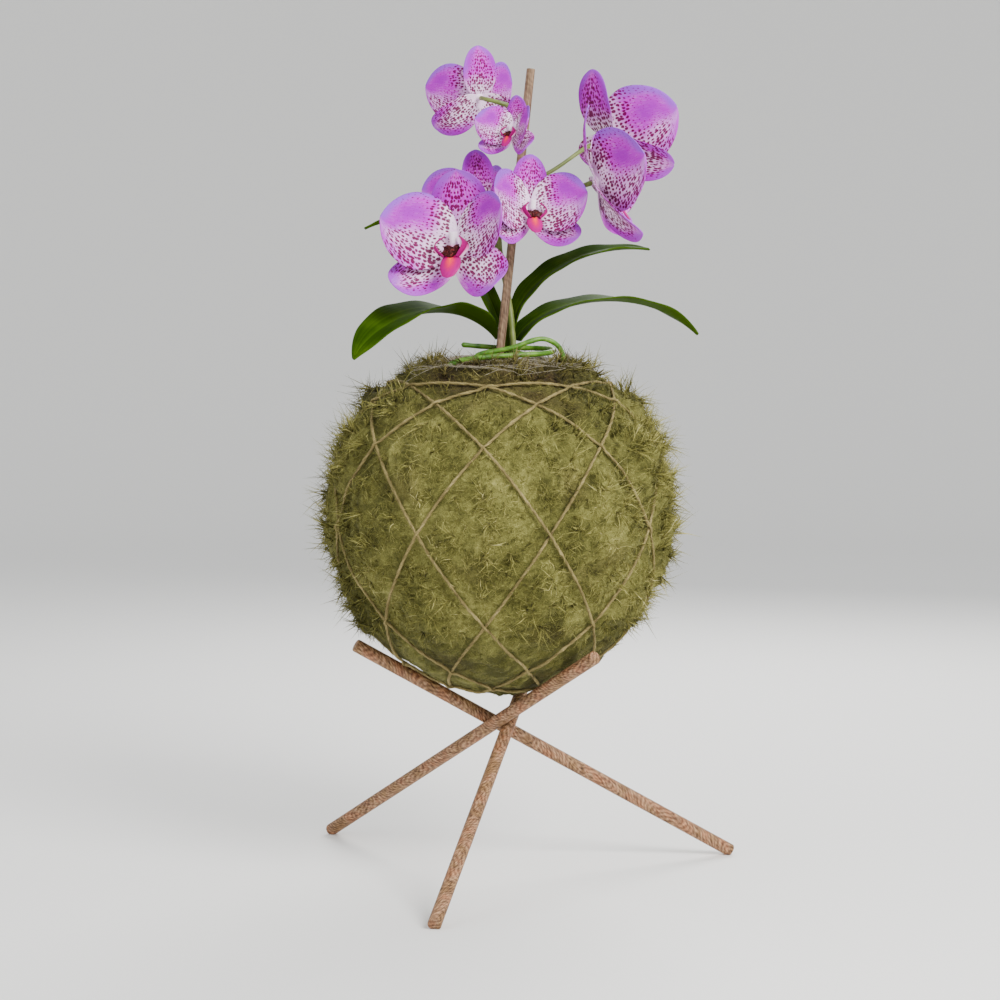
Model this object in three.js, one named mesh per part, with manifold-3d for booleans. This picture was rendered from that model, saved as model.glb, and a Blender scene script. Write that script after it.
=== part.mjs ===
// A kokedama: a moth orchid planted in a ball of potting mix, wrapped in moss, netted with twine
// and carried on a tripod of three crossed wooden dowels. Millimetres, +Z up, the floor at z = 0,
// and the side that faces the viewer towards -Y. Every point is given from the ball's axis.
import * as THREE from "three";
import { mergeVertices } from "three/addons/utils/BufferGeometryUtils.js";
import Module from "manifold-3d";

const wasm = await Module();
wasm.setup();

// Where the ball's axis stands, so that the origin is under the middle of the whole.
const AXIS = [-17.54, 21.16, 0];

// Clearance that is kept between any two pieces that touch.
const GAP = 0.3;

// The moss ball: radius at its equator, reach above and below it, and how square its shoulders are.
const BALL = { z: 214.9, radius: 98.6, up: 98.6, down: 102.9, shoulder: 2.5, belly: 2.0 };

// The moss sheets, and the mouth at the top where the plant stands.
const MOSS = { thickness: 12, mouth: 37, segments: 36, rings: 18 };

// The potting mix: how far its faceted wall stays inside the moss, and the mound in the mouth, whose
// heights are drops below the top of the ball.
const MIX = {
  inset: 13.9, shoulder: 39, mound: 36.5, rim: 3, rimDrop: 4.5, midDrop: 2, topDrop: 1.5, hole: 100,
};

// The twine: great-circle loops round the ball, leaning alike, an equal turn apart. rise and sag set
// how high a loop climbs and how much of that it loses towards the top.
const TWINE = { radius: 1.0, loops: 8, lean: 52, turn: 17, rise: 118, sag: 11, steps: 30, sides: 4 };

// The tripod: every dowel runs from a foot, past the axis, to an arm on the far side. offset is how
// far its line passes from the axis, so that each just clears the other two.
const DOWEL = {
  radius: 4, slope: 30, footRadius: 153, armRadius: 88, footZ: 2.22, turn: 14, offset: 6.36, chamfer: 0.8,
};

// The support stick.
const STICK = { radius: 2.6, foot: [-4.7, -6.5, 270], top: [19.2, -6.5, 487.5], chamfer: 0.5 };

// The plant's short stem, between its leaf bases.
const CROWN = { x: 4.5, y: 7, foot: 296, top: 338, radius: 5.8 };

const LEAF_THICKNESS = 1.6;
const TEPAL_THICKNESS = 0.8;

const radians = THREE.MathUtils.degToRad;
const point = (p) => new THREE.Vector3(...p);
const { sin, cos, min, max, PI } = Math;

// Solids

// A closed mesh as a manifold-3d solid.
function solidOf(geometry) {
  const bare = new THREE.BufferGeometry();
  bare.setAttribute("position", geometry.getAttribute("position").clone());
  bare.setIndex(geometry.index.clone());
  const merged = mergeVertices(bare, 1e-4);
  const mesh = new wasm.Mesh({
    numProp: 3,
    vertProperties: merged.attributes.position.array,
    triVerts: new Uint32Array(merged.index.array),
  });
  return new wasm.Manifold(mesh);
}

// A manifold-3d solid as a mesh again.
function geometryOf(solid) {
  const mesh = solid.getMesh();
  return new THREE.BufferGeometry()
    .setAttribute("position", new THREE.BufferAttribute(new Float32Array(mesh.vertProperties), 3))
    .setIndex(new THREE.BufferAttribute(new Uint32Array(mesh.triVerts), 1));
}

// One solid from several that overlap.
function fuse(geometries) {
  return geometryOf(geometries.map(solidOf).reduce((whole, next) => whole.add(next)));
}

// A solid with others taken away.
function cut(geometry, ...tools) {
  const whole = solidOf(geometry);
  return geometryOf(tools.map(solidOf).reduce((left, tool) => left.subtract(tool), whole));
}

// A closed mesh from points and triangles.
function meshOf(points, faces) {
  const positions = new THREE.Float32BufferAttribute(points.flatMap((p) => [p.x, p.y, p.z]), 3);
  return new THREE.BufferGeometry().setAttribute("position", positions).setIndex(faces);
}

// A closed solid through rings of points, all of the same count, with a flat cap at each end.
// closed joins the last ring to the first, as on a loop, and then there are no caps.
function loft(rings, closed = false) {
  const count = rings[0].length;
  const last = rings.length - 1;
  const faces = [];
  const at = (ring, k) => (ring % rings.length) * count + (k % count);
  for (let ring = 0; ring < (closed ? rings.length : last); ring++) {
    for (let k = 0; k < count; k++) {
      faces.push(at(ring, k), at(ring, k + 1), at(ring + 1, k + 1));
      faces.push(at(ring, k), at(ring + 1, k + 1), at(ring + 1, k));
    }
  }
  for (let k = 1; k < count - 1 && !closed; k++) {
    faces.push(at(0, 0), at(0, k + 1), at(0, k));
    faces.push(at(last, 0), at(last, k), at(last, k + 1));
  }
  return meshOf(rings.flat(), faces);
}

// A thin blade from a middle surface: surface(s, u) gives a point for s from 0 at the root to 1 at
// the tip and u from -1 to 1 across. tipAt, just under 1, is where a pointed blade is cut off.
function blade(surface, thickness, along, across, tipAt) {
  const front = [];
  const back = [];
  for (let j = 0; j <= along; j++) {
    const s = sin(((j / along) * PI) / 2) ** 1.2 * tipAt;
    for (let i = 0; i <= across; i++) {
      const u = (2 * i) / across - 1;
      const normal = normalAt(surface, s, u).multiplyScalar(thickness / 2);
      const middle = surface(s, u);
      front.push(middle.clone().add(normal));
      back.push(middle.clone().sub(normal));
    }
  }
  return meshOf([...front, ...back], bladeFaces(along, across));
}

// The unit normal of a surface, on the side from which +u is to the right and the tip is up.
function normalAt(surface, s, u) {
  const step = 0.01;
  const down = surface(s + step, u).sub(surface(max(s - step, 0), u));
  const over = surface(s, min(u + step, 1)).sub(surface(s, max(u - step, -1)));
  return over.cross(down).normalize();
}

// The triangles of a blade: two faces, both split the same way, and the edges between them.
function bladeFaces(along, across) {
  const faces = [];
  const f = (j, i) => j * (across + 1) + i;
  const b = (j, i) => f(along + 1, 0) + f(j, i);
  const quad = (p, q, r, t) => faces.push(p, q, r, p, r, t);
  for (let j = 0; j < along; j++) {
    for (let i = 0; i < across; i++) {
      quad(f(j, i), f(j, i + 1), f(j + 1, i + 1), f(j + 1, i));
      quad(b(j + 1, i + 1), b(j, i + 1), b(j, i), b(j + 1, i));
    }
    quad(f(j, 0), f(j + 1, 0), b(j + 1, 0), b(j, 0));
    quad(f(j, across), b(j, across), b(j + 1, across), f(j + 1, across));
  }
  for (let i = 0; i < across; i++) {
    quad(f(0, i), b(0, i), b(0, i + 1), f(0, i + 1));
    quad(f(along, i), f(along, i + 1), b(along, i + 1), b(along, i));
  }
  return faces;
}

// A round tube along a smooth curve through points. radiusAt(s) gives its radius.
function tube(points, radiusAt, steps, sides) {
  const curve = new THREE.CatmullRomCurve3(points.map(point), false, "catmullrom", 0.5);
  const frames = curve.computeFrenetFrames(steps, false);
  const rings = [];
  for (let j = 0; j <= steps; j++) {
    const s = j / steps;
    const centre = curve.getPointAt(s);
    rings.push(ringRound(centre, frames.normals[j], frames.binormals[j], radiusAt(s), sides));
  }
  return loft(rings);
}

// A ring of points round a centre, counter-clockwise as seen from in front of normal x binormal.
function ringRound(centre, normal, binormal, radius, sides) {
  return Array.from({ length: sides }, (_, k) => {
    const a = (2 * PI * (k + 0.5)) / sides;
    return centre
      .clone()
      .addScaledVector(normal, radius * cos(a))
      .addScaledVector(binormal, radius * sin(a));
  });
}

// A body of revolution round +Z from [radius, height] points that start and end on the axis.
function turned(profile, segments) {
  const lathe = new THREE.LatheGeometry(profile.map(([r, h]) => new THREE.Vector2(r, h)), segments);
  return lathe.rotateX(PI / 2);
}

// The ball

// Distance from the ball's centre to its surface, at an angle above the equator. A superellipse.
function ballReach(angle, grow = 0) {
  const up = angle > 0;
  const power = up ? BALL.shoulder : BALL.belly;
  const reach = (up ? BALL.up : BALL.down) + grow;
  const wide = (BALL.radius + grow) ** -power * Math.abs(cos(angle)) ** power;
  const high = reach ** -power * Math.abs(sin(angle)) ** power;
  return (wide + high) ** (-1 / power);
}

// [radius, height] of the ball's surface at an angle above its equator.
function ballProfile(angle, grow = 0) {
  const reach = ballReach(angle, grow);
  return [reach * cos(angle), BALL.z + reach * sin(angle)];
}

// The angle above the equator at which the surface has a given radius, near the top.
function angleAtRadius(radius, grow) {
  let low = 0;
  let high = PI / 2;
  for (let k = 0; k < 40; k++) {
    const middle = (low + high) / 2;
    if (ballProfile(middle, grow)[0] > radius) low = middle;
    else high = middle;
  }
  return low;
}

// Points of the ball's profile from its underside up to a given angle.
function profileUpTo(top, rings, grow = 0) {
  const bottom = -PI / 2;
  const profile = Array.from({ length: rings + 1 }, (_, k) =>
    ballProfile(bottom + ((top - bottom) * k) / rings, grow));
  profile[0][0] = 0;
  return profile;
}

// Moss sheets wrapped round the potting mix, open at the top.
function mossJacket() {
  const outer = profileUpTo(angleAtRadius(MOSS.mouth, 0), MOSS.rings);
  const innerTop = angleAtRadius(MOSS.mouth, -MOSS.thickness);
  const inner = profileUpTo(innerTop, MOSS.rings / 2 - 2, -MOSS.thickness);
  return turned([...outer, ...inner.reverse()], MOSS.segments);
}

// The ball of potting mix inside, with plain holes for the stick, the plant's stem and the spike.
function soilCore() {
  const shoulder = angleAtRadius(MIX.shoulder, -MIX.inset);
  const profile = profileUpTo(shoulder, MOSS.rings / 2 - 1, -MIX.inset);
  const top = BALL.z + BALL.up;
  const shoulderZ = profile[profile.length - 1][1];
  profile.push([MIX.mound, shoulderZ + MIX.shoulder - MIX.mound]);
  profile.push([MIX.mound - MIX.rim, top - MIX.rimDrop]);
  profile.push([MIX.mound / 2, top - MIX.midDrop]);
  profile.push([0, top - MIX.topDrop]);
  const hole = (radius, x, y, foot) =>
    new THREE.CylinderGeometry(radius + GAP, radius + GAP, MIX.hole, 12)
      .rotateX(PI / 2)
      .translate(x, y, foot - GAP + MIX.hole / 2);
  return cut(
    turned(profile, MOSS.segments / 2),
    stickBar(STICK.radius + GAP, 0, GAP),
    hole(CROWN.radius, CROWN.x, CROWN.y, CROWN.foot),
    hole(SPIKE_RADIUS + 0.1, ...SPIKE_FOOT),
  );
}

// Twine

// A point on a loop's centre line, pressed against the moss. The loop is a great circle that leans
// by TWINE.lean; its height follows the ball's fuller shoulders and tapered belly.
function twinePoint(node, t) {
  const lean = radians(TWINE.lean);
  const high = sin(t) * sin(lean);
  const turn = node + Math.atan2(sin(t) * cos(lean), cos(t));
  const height = TWINE.rise * high - TWINE.sag * high * high;
  const grow = TWINE.radius + GAP + 0.2;
  // Newton steps on the angle at which the surface has that height.
  let angle = Math.asin(height / (TWINE.rise + TWINE.sag));
  for (let k = 0; k < 12; k++) {
    const reach = ballReach(angle, grow);
    angle -= (reach * sin(angle) - height) / reach / max(cos(angle), 0.25);
  }
  const radius = ballReach(angle, grow) * cos(angle);
  return new THREE.Vector3(radius * cos(turn), radius * sin(turn), BALL.z + height);
}

// One loop as a closed tube.
function twineLoop(node) {
  const rings = Array.from({ length: TWINE.steps }, (_, j) => {
    const t = (2 * PI * j) / TWINE.steps;
    const centre = twinePoint(node, t);
    const ahead = twinePoint(node, t + 0.01).sub(twinePoint(node, t - 0.01)).normalize();
    const out = centre.clone().sub(new THREE.Vector3(0, 0, BALL.z));
    const side = ahead.clone().cross(out).normalize();
    return ringRound(centre, side.clone().cross(ahead), side, TWINE.radius, TWINE.sides);
  });
  return loft(rings, true);
}

function twineNet() {
  const nodes = Array.from({ length: TWINE.loops }, (_, n) => TWINE.turn - 90 + (360 / TWINE.loops) * n);
  return fuse(nodes.map((node) => twineLoop(radians(node))));
}

// The tripod

// A round bar along +Z with both ends chamfered.
function roundBar(radius, length, chamfer, sides) {
  const inner = radius - chamfer;
  const foot = [[0, 0], [inner, 0], [radius, chamfer]];
  const top = [[radius, length - chamfer], [inner, length], [0, length]];
  return turned([...foot, ...top], sides);
}

// One dowel from its foot to the end of its arm, with a small flat sanded on the foot.
function dowel(turn) {
  const length = (DOWEL.footRadius + DOWEL.armRadius) / cos(radians(DOWEL.slope));
  const bar = roundBar(DOWEL.radius, length, DOWEL.chamfer, 16)
    .rotateY(radians(DOWEL.slope - 90))
    .translate(DOWEL.footRadius, DOWEL.offset, DOWEL.footZ)
    .rotateZ(radians(turn));
  const floor = new THREE.BoxGeometry(1000, 1000, 100).translate(0, 0, -50);
  return cut(bar, floor);
}

// The stick, or the shape of its hole, which is wider and starts a little deeper.
function stickBar(radius, chamfer, deeper) {
  const foot = point(STICK.foot);
  const axis = point(STICK.top).sub(foot);
  const up = new THREE.Vector3(0, 0, 1);
  const turn = new THREE.Quaternion().setFromUnitVectors(up, axis.clone().normalize());
  return roundBar(radius, axis.length() + deeper, chamfer, 12)
    .translate(0, 0, -deeper)
    .applyQuaternion(turn)
    .translate(...STICK.foot);
}

// Leaves

// A point on a cubic Bezier curve.
function bezier(p, s) {
  const m = 1 - s;
  return point(p[0]).multiplyScalar(m * m * m)
    .addScaledVector(point(p[1]), 3 * m * m * s)
    .addScaledVector(point(p[2]), 3 * m * s * s)
    .addScaledVector(point(p[3]), s * s * s);
}

// Strap leaves: a curve for the midrib, the full width, the channel's depth as a share of the half
// width, and the roll of the blade about its midrib at the base and at the tip, in degrees.
const LEAVES = {
  leaf_left: {
    rib: [[-1.7, 7.2, 326], [-23, 12, 354], [-71.5, -35, 342.5], [-84.3, -66, 315]],
    width: 32, channel: 0.36, roll: [16, -28],
  },
  leaf_right_low: {
    rib: [[11.2, 9, 325], [21, 12, 348], [88, 31, 364.5], [125, 53.5, 328]],
    width: 28, channel: 0.2, roll: [14, -6],
  },
  leaf_right_high: {
    rib: [[8.8, 7.6, 333], [13, 9, 361], [51.5, 26, 385.5], [94, 50, 381.3]],
    width: 24.5, channel: 0.3, roll: [2, 13],
  },
  leaf_left_high: {
    rib: [[-0.1, 7.4, 333], [-11, 14, 370], [-44, 50, 414], [-84, 50, 394]],
    width: 21, channel: 0.25, roll: [0, 0],
  },
};

function leaf({ rib, width, channel, roll }) {
  const up = new THREE.Vector3(0, 0, 1);
  const surface = (s, u) => {
    const ahead = bezier(rib, min(s + 0.01, 1)).sub(bezier(rib, max(s - 0.01, 0))).normalize();
    const turn = radians(roll[0] + (roll[1] - roll[0]) * s);
    const side = ahead.clone().cross(up).normalize().applyAxisAngle(ahead, turn);
    const face = side.clone().cross(ahead);
    const half = (width / 2) * sin(PI * min(0.12 + 0.88 * s, 1)) ** 0.7;
    return bezier(rib, s)
      .addScaledVector(side, u * half)
      .addScaledVector(face, Math.abs(u) * half * channel);
  };
  return blade(surface, LEAF_THICKNESS, 10, 4, 0.99);
}

// Roots, stem and crown

// Aerial roots: points along each, its radius, and its radius at both ends as a share of that.
const ROOTS = {
  root_arch: {
    points: [
      [-17, -17.5, 311.8], [-12, -19, 317], [-3, -19, 318.8], [8, -19, 321], [18, -18, 324.6],
      [26, -16, 326.3], [33, -14, 324], [37.5, -12, 319], [40, -10.5, 309.4],
    ],
    radius: 1.5,
    ends: [0.45, 0.9],
  },
  root_loop: {
    points: [
      [-23, 12, 322.5], [-12, 15, 321.5], [4, 14.8, 320.6], [18, 16, 320.4], [29, 9, 320], [33, -4, 319],
      [27, -17, 317.6], [12, -26, 316.8], [-6, -30, 315.7], [-24, -31, 313.2], [-37, -33, 307],
    ],
    radius: 1.6,
    ends: [1, 0.5],
  },
  root_short: {
    points: [[4.6, 1, 318.5], [5.2, -5, 319.2], [9, -9.5, 318.8], [16, -12, 316.8], [22, -13, 311]],
    radius: 1.1,
    ends: [1, 0.6],
  },
};

function root({ points, radius, ends }) {
  const taper = (s) => radius * min(1, ends[0] + 6 * s, ends[1] + 5 * (1 - s));
  return tube(points, taper, 25, 5);
}

function crown() {
  const { radius, foot, top } = CROWN;
  const profile = [
    [0, foot], [radius * 0.7, foot], [radius, foot + 6],
    [radius, top - 14], [radius * 0.55, top - 6], [0, top],
  ];
  return turned(profile, 12).translate(CROWN.x, CROWN.y, 0);
}

const SPIKE_FOOT = [9.5, -3, 300];
const SPIKE_RADIUS = 2.0;

// The flower spike's stem, and the stalk of each bloom from a point on it.
const SPIKE = [
  SPIKE_FOOT, [9.5, -3, 313], [8.2, -2, 328], [6.6, 0, 345], [3, 1.5, 366], [0, 2.5, 386], [3, 3, 404],
  [9, 3, 422], [14.5, 2.5, 440], [14, 2, 455], [9, -3, 464], [1, -7, 467], [-7, -5, 469.3], [-11.4, 3, 471],
];
const STALK_RADIUS = 1.35;

function flowerSpike() {
  const stem = tube(SPIKE, (s) => SPIKE_RADIUS * (1 - 0.35 * s), 30, 5);
  const stalks = Object.values(BLOOMS)
    .filter((bloom) => bloom.stalk)
    .map((bloom) => tube([...bloom.stalk, stalkEnd(bloom)], () => STALK_RADIUS, 8, 5));
  return fuse([stem, ...stalks]);
}

// Blooms

// A bloom faces +Z in its own frame, with +X to the right of someone who looks at it and +Y up.
// at is its middle, size the length of a petal. yaw turns it from -Y towards +X, pitch lifts its
// face, and roll turns it clockwise as seen from in front.
const BLOOMS = {
  bloom_front_left: {
    at: [-24.8, -45, 383.7], size: 47.7, yaw: -20, pitch: 18, roll: -3,
    stalk: [[-0.5, 2.5, 384], [-8, -10, 379.5], [-16, -25, 378.5]],
    tepals: {
      dorsal: { width: 0.78 },
      lateral_right: { turn: 138 },
      petal_right: { turn: 75, width: 0.78 },
      petal_left: { turn: -79, width: 0.97 },
    },
  },
  bloom_front_right: {
    at: [18.9, -35, 404.1], size: 35.5, yaw: 17, pitch: 20, roll: 3,
    stalk: [[3, 3, 401], [1.5, -8, 399], [8, -17, 397], [14, -25, 399]],
  },
  bloom_top_left: { at: [-12.1, 5, 471.7], size: 34.5, yaw: 199, pitch: 20, roll: 4 },
  bloom_top_small: {
    at: [8.2, -20, 450.3], size: 23.4, yaw: -32, pitch: 20, roll: 2,
    stalk: [[14.7, 2.5, 446], [9.5, -4, 446], [9.3, -10, 448]],
  },
  bloom_right_high: {
    at: [66.8, 34, 450.1], size: 47.5, yaw: 129, pitch: 27, roll: 3,
    stalk: [[8, 3, 417], [30.9, 8, 426.9], [51.1, 19, 441]],
  },
  bloom_right_low: {
    at: [57.7, -38, 419], size: 50.2, yaw: 88, pitch: 18, roll: -4,
    stalk: [[5, 3, 410], [27.6, -12, 416], [45, -33, 415.5]],
    tepals: { petal_left: { turn: -80, width: 0.98 }, lateral_left: { turn: -140, tilt: [-4, 40] } },
  },
  bloom_behind: {
    at: [-13.8, 5, 409.8], size: 34.3, yaw: 204, pitch: 18, roll: 4,
    stalk: [[1.5, 2.5, 392], [-3, -6, 398], [-10, -7, 405]],
  },
};

// Sepals and petals: the direction that each grows in, in degrees clockwise from up, its length
// and width as a share of the bloom's size, the exponents of its outline at root and tip, and the
// tilt towards the front at its root and at its tip, in degrees. A bloom's own tepals change these.
const LATERAL = { length: 1.01, width: 0.64, outline: [0.5, 0.4], tilt: [-14, 46], cup: -0.2, across: 2 };
const PETAL = { length: 1, width: 1.04, outline: [0.54, 0.56], tilt: [26, 47], cup: -0.08, across: 4 };
const TEPALS = {
  dorsal: {
    turn: 0, length: 0.91, width: 0.61, outline: [0.52, 0.52], tilt: [-14, 37], cup: 0.02, across: 2,
  },
  lateral_right: { turn: 130, ...LATERAL },
  lateral_left: { turn: -130, ...LATERAL },
  petal_right: { turn: 86, ...PETAL },
  petal_left: { turn: -86, ...PETAL },
};
const TOWARDS_FRONT = new THREE.Vector3(0, 0, 1);

// The half width of an outline at s, at most half of the width.
function outlineAt(s, [atRoot, atTip]) {
  const widest = atRoot / (atRoot + atTip);
  const most = widest ** atRoot * (1 - widest) ** atTip;
  return (max(s, 0.02) ** atRoot * max(1 - s, 0) ** atTip) / most / 2;
}

// A point on a tepal's middle surface, in the bloom's frame.
function tepalPoint(tepal, size, s, u) {
  const [from, to] = tepal.tilt.map(radians);
  const length = tepal.length * size;
  const bend = to - from;
  const tilt = from + bend * s;
  const out = (length * (sin(tilt) - sin(from))) / bend;
  const ahead = (length * (cos(from) - cos(tilt))) / bend;
  const half = outlineAt(s, tepal.outline) * tepal.width * size;
  const across = u * half;
  const lift = tepal.cup * half * u * u;
  return new THREE.Vector3(across, out, ahead + lift).applyAxisAngle(TOWARDS_FRONT, -radians(tepal.turn));
}

// The lump where the tepals meet and the column that stands on it, as shares of the bloom's size.
const HEART = { radius: 0.075, flatten: 0.7 };
const COLUMN = { top: 0.05, foot: 0.06, length: 0.2, tilt: 20, y: -0.02, z: 0.1 };

// Sepals, petals and the column between them, as one body.
function perianth({ size, tepals: changes = {} }) {
  const tepals = Object.entries(TEPALS).map(([name, usual]) => {
    const tepal = { ...usual, ...changes[name] };
    return blade((s, u) => tepalPoint(tepal, size, s, u), TEPAL_THICKNESS, 5, tepal.across, 0.995);
  });
  const heart = new THREE.SphereGeometry(HEART.radius, 6, 4).scale(1, 1, HEART.flatten);
  const column = new THREE.CylinderGeometry(COLUMN.top, COLUMN.foot, COLUMN.length, 5)
    .rotateX(PI / 2 + radians(COLUMN.tilt))
    .translate(0, COLUMN.y, COLUMN.z);
  return fuse([...tepals, heart.scale(size, size, size), column.scale(size, size, size)]);
}

// The lip, as shares of the bloom's size, in front of the column's foot.
// The middle lobe points down: from top to tip, and forwards.
const MID_LOBE = {
  top: 0.2, tip: 0.55, root: 0.06, swell: 0.075, z: 0.14, forward: 0.12, curl: 0.03, fold: 0.25,
};
// The side lobes stand up on both sides of the column: apart is their distance from the middle.
const SIDE_LOBE = {
  foot: -0.26, tip: 0.02, half: 0.045, apart: 0.1, bulge: 0.1, z: 0.165, forward: 0.05, lean: 0.4,
};
// The callus lies where the three lobes meet, and the claw joins it to the column.
const CALLUS = { radius: 0.08, scale: [1.35, 0.7, 0.8], y: -0.19, z: 0.15 };
const CLAW = { y: -0.13, front: 0.14, wide: 0.035, narrow: 0.025 };

function midLobePoint(s, u) {
  const half = MID_LOBE.root + MID_LOBE.swell * sin(PI * min(s * 0.9 + 0.1, 1));
  const y = -MID_LOBE.top - (MID_LOBE.tip - MID_LOBE.top) * s;
  const z = MID_LOBE.z + MID_LOBE.forward * s - MID_LOBE.curl * s * s;
  return new THREE.Vector3(u * half, y, z - MID_LOBE.fold * u * u * half);
}

function sideLobePoint(sign, s, u) {
  const half = SIDE_LOBE.half * sin(PI * min(0.25 + 0.75 * s, 1));
  const x = SIDE_LOBE.apart + SIDE_LOBE.bulge * sin(PI * min(s * 1.1, 1)) - SIDE_LOBE.lean * u * half;
  const y = SIDE_LOBE.foot + (SIDE_LOBE.tip - SIDE_LOBE.foot) * s;
  return new THREE.Vector3(sign * x, y, SIDE_LOBE.z + SIDE_LOBE.forward * sin(PI * s) + u * half);
}

function lip(size) {
  const lobe = (at, across) =>
    blade((s, u) => at(s, u).multiplyScalar(size), TEPAL_THICKNESS, 3, across, 0.985);
  const sides = [1, -1].map((sign) => lobe((s, u) => sideLobePoint(sign, s, u), 1));
  const callus = new THREE.SphereGeometry(CALLUS.radius * size, 6, 4)
    .scale(...CALLUS.scale)
    .translate(0, CALLUS.y * size, CALLUS.z * size);
  const back = 0.025 * size + TEPAL_THICKNESS / 2 + 2 * GAP;
  const front = CLAW.front * size;
  const claw = new THREE.CylinderGeometry(CLAW.wide * size, CLAW.narrow * size, front - back, 5)
    .rotateX(PI / 2)
    .translate(0, CLAW.y * size, (front + back) / 2);
  return fuse([lobe(midLobePoint, 2), ...sides, callus, claw]);
}

// The turn that faces a bloom as its yaw, pitch and roll say.
function facing({ yaw, pitch, roll }) {
  const euler = new THREE.Euler(radians(90 - pitch), 0, radians(yaw), "ZXY");
  const rolled = new THREE.Quaternion().setFromAxisAngle(TOWARDS_FRONT, -radians(roll));
  return new THREE.Quaternion().setFromEuler(euler).multiply(rolled);
}

// Where a bloom's stalk ends, just behind its heart.
function stalkEnd(bloom) {
  const behind = HEART.radius * HEART.flatten * bloom.size + GAP;
  const end = TOWARDS_FRONT.clone().multiplyScalar(-behind).applyQuaternion(facing(bloom));
  return end.add(point(bloom.at)).toArray();
}

// The part

const finish = (color, roughness) => new THREE.MeshStandardMaterial({ color, roughness, metalness: 0 });
const MOSS_GREEN = finish("#6f6c35", 0.9);
const SOIL_BROWN = finish("#3f2f1e", 0.95);
const JUTE = finish("#9c8a5c", 0.9);
const DOWEL_WOOD = finish("#94705a", 0.65);
const STICK_WOOD = finish("#8b7052", 0.65);
const LEAF_GREEN = finish("#3c5f17", 0.4);
const STEM_GREEN = finish("#5a6b34", 0.5);
const ROOT_GREEN = finish("#6f8f2f", 0.5);
const PETAL_PINK = finish("#d493e6", 0.55);
const LIP_RED = finish("#d81b70", 0.45);

const kokedama = new THREE.Group();
kokedama.position.set(...AXIS);

function add(name, geometry, material, parent = kokedama) {
  const mesh = new THREE.Mesh(geometry, material);
  mesh.name = name;
  parent.add(mesh);
}

add("soil_core", soilCore(), SOIL_BROWN);
add("moss_jacket", mossJacket(), MOSS_GREEN);
add("twine_net", twineNet(), JUTE);
["dowel_right_foot", "dowel_left_foot", "dowel_front_foot"].forEach((name, k) =>
  add(name, dowel(DOWEL.turn + 120 * k), DOWEL_WOOD));
add("support_stick", stickBar(STICK.radius, STICK.chamfer, 0), STICK_WOOD);
add("crown", crown(), LEAF_GREEN);
Object.entries(LEAVES).forEach(([name, spec]) => add(name, leaf(spec), LEAF_GREEN));
Object.entries(ROOTS).forEach(([name, spec]) => add(name, root(spec), ROOT_GREEN));
add("flower_spike", flowerSpike(), STEM_GREEN);
for (const [name, bloom] of Object.entries(BLOOMS)) {
  const flower = new THREE.Group();
  flower.position.set(...bloom.at);
  flower.quaternion.copy(facing(bloom));
  add(name, perianth(bloom), PETAL_PINK, flower);
  add(name + "_lip", lip(bloom.size), LIP_RED, flower);
  kokedama.add(flower);
}

export default kokedama;
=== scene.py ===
"""A kokedama: a spotted moth orchid in a moss ball netted with jute twine, on a tripod of dowels.

Every length is in millimetres, measured from the ball's axis and up from the floor. The function
in_frame turns such points into metres in the frame. Patterns are scaled from real sizes.
"""

import bpy
import numpy as np
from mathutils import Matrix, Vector


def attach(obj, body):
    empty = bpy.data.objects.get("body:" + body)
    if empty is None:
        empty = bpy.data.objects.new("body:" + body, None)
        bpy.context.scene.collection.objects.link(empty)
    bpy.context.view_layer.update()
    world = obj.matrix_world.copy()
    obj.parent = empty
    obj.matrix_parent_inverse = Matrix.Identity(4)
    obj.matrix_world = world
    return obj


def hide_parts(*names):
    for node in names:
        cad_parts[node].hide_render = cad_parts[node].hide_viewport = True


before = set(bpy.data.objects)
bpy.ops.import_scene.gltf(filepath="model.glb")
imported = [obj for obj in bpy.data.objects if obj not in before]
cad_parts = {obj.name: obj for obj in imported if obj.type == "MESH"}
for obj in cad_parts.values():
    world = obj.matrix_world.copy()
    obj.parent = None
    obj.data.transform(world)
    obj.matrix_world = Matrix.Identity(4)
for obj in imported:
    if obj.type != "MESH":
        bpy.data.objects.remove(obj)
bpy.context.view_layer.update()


# Camera
# It stands a metre and a half away and looks down by four degrees, with a long lens, so that the
# dowels and the blooms keep their true proportions.

AXIS = np.array([-17.54, 21.16, 0.0])


def in_frame(points):
    """Metres in the frame, from millimetres measured from the ball's axis: (points + AXIS) / 1000."""
    return (np.asarray(points, float) + AXIS) / 1000


eye = in_frame([0.65, -1499.65, 342.55])
aim = in_frame([0.65, 0.0, 228.2])
lens = bpy.data.cameras.new("camera")
lens.lens = 88.94
lens.sensor_width = 36
camera = bpy.data.objects.new("camera", lens)
camera.location = eye
camera.rotation_euler = Vector(aim - eye).to_track_quat("-Z", "Y").to_euler()
bpy.context.collection.objects.link(camera)
bpy.context.scene.camera = camera


# Dowels of the tripod
# Three 8 mm rods of reddish hardwood, turned round and left bare, cross under the ball. Each has one
# foot sanded flat where it stands and softly broken edges; the growth rings run across it in waves.

# Each rod passes the ball's axis at DOWEL_OFFSET, between its foot at FOOT_RADIUS and its arm's end at
# ARM_RADIUS. GRAIN_TWIST is how fast its grain winds, and GRAIN_TURN and GRAIN_SHIFT give it its own grain.
DOWEL_RADIUS = 4.0
DOWEL_SLOPE = np.radians(30)
DOWEL_OFFSET = 6.36
FOOT_RADIUS = 153.0
FOOT_HEIGHT = 2.22
ARM_RADIUS = 88.0
FIRST_FOOT = np.radians(14)
DOWEL_EDGE = 0.9
GRAIN_TWIST = 0.11
GRAIN_TURN = 2.0
GRAIN_SHIFT = 311.0
DOWEL_NODES = ("dowel_right_foot", "dowel_left_foot", "dowel_front_foot")


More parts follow.
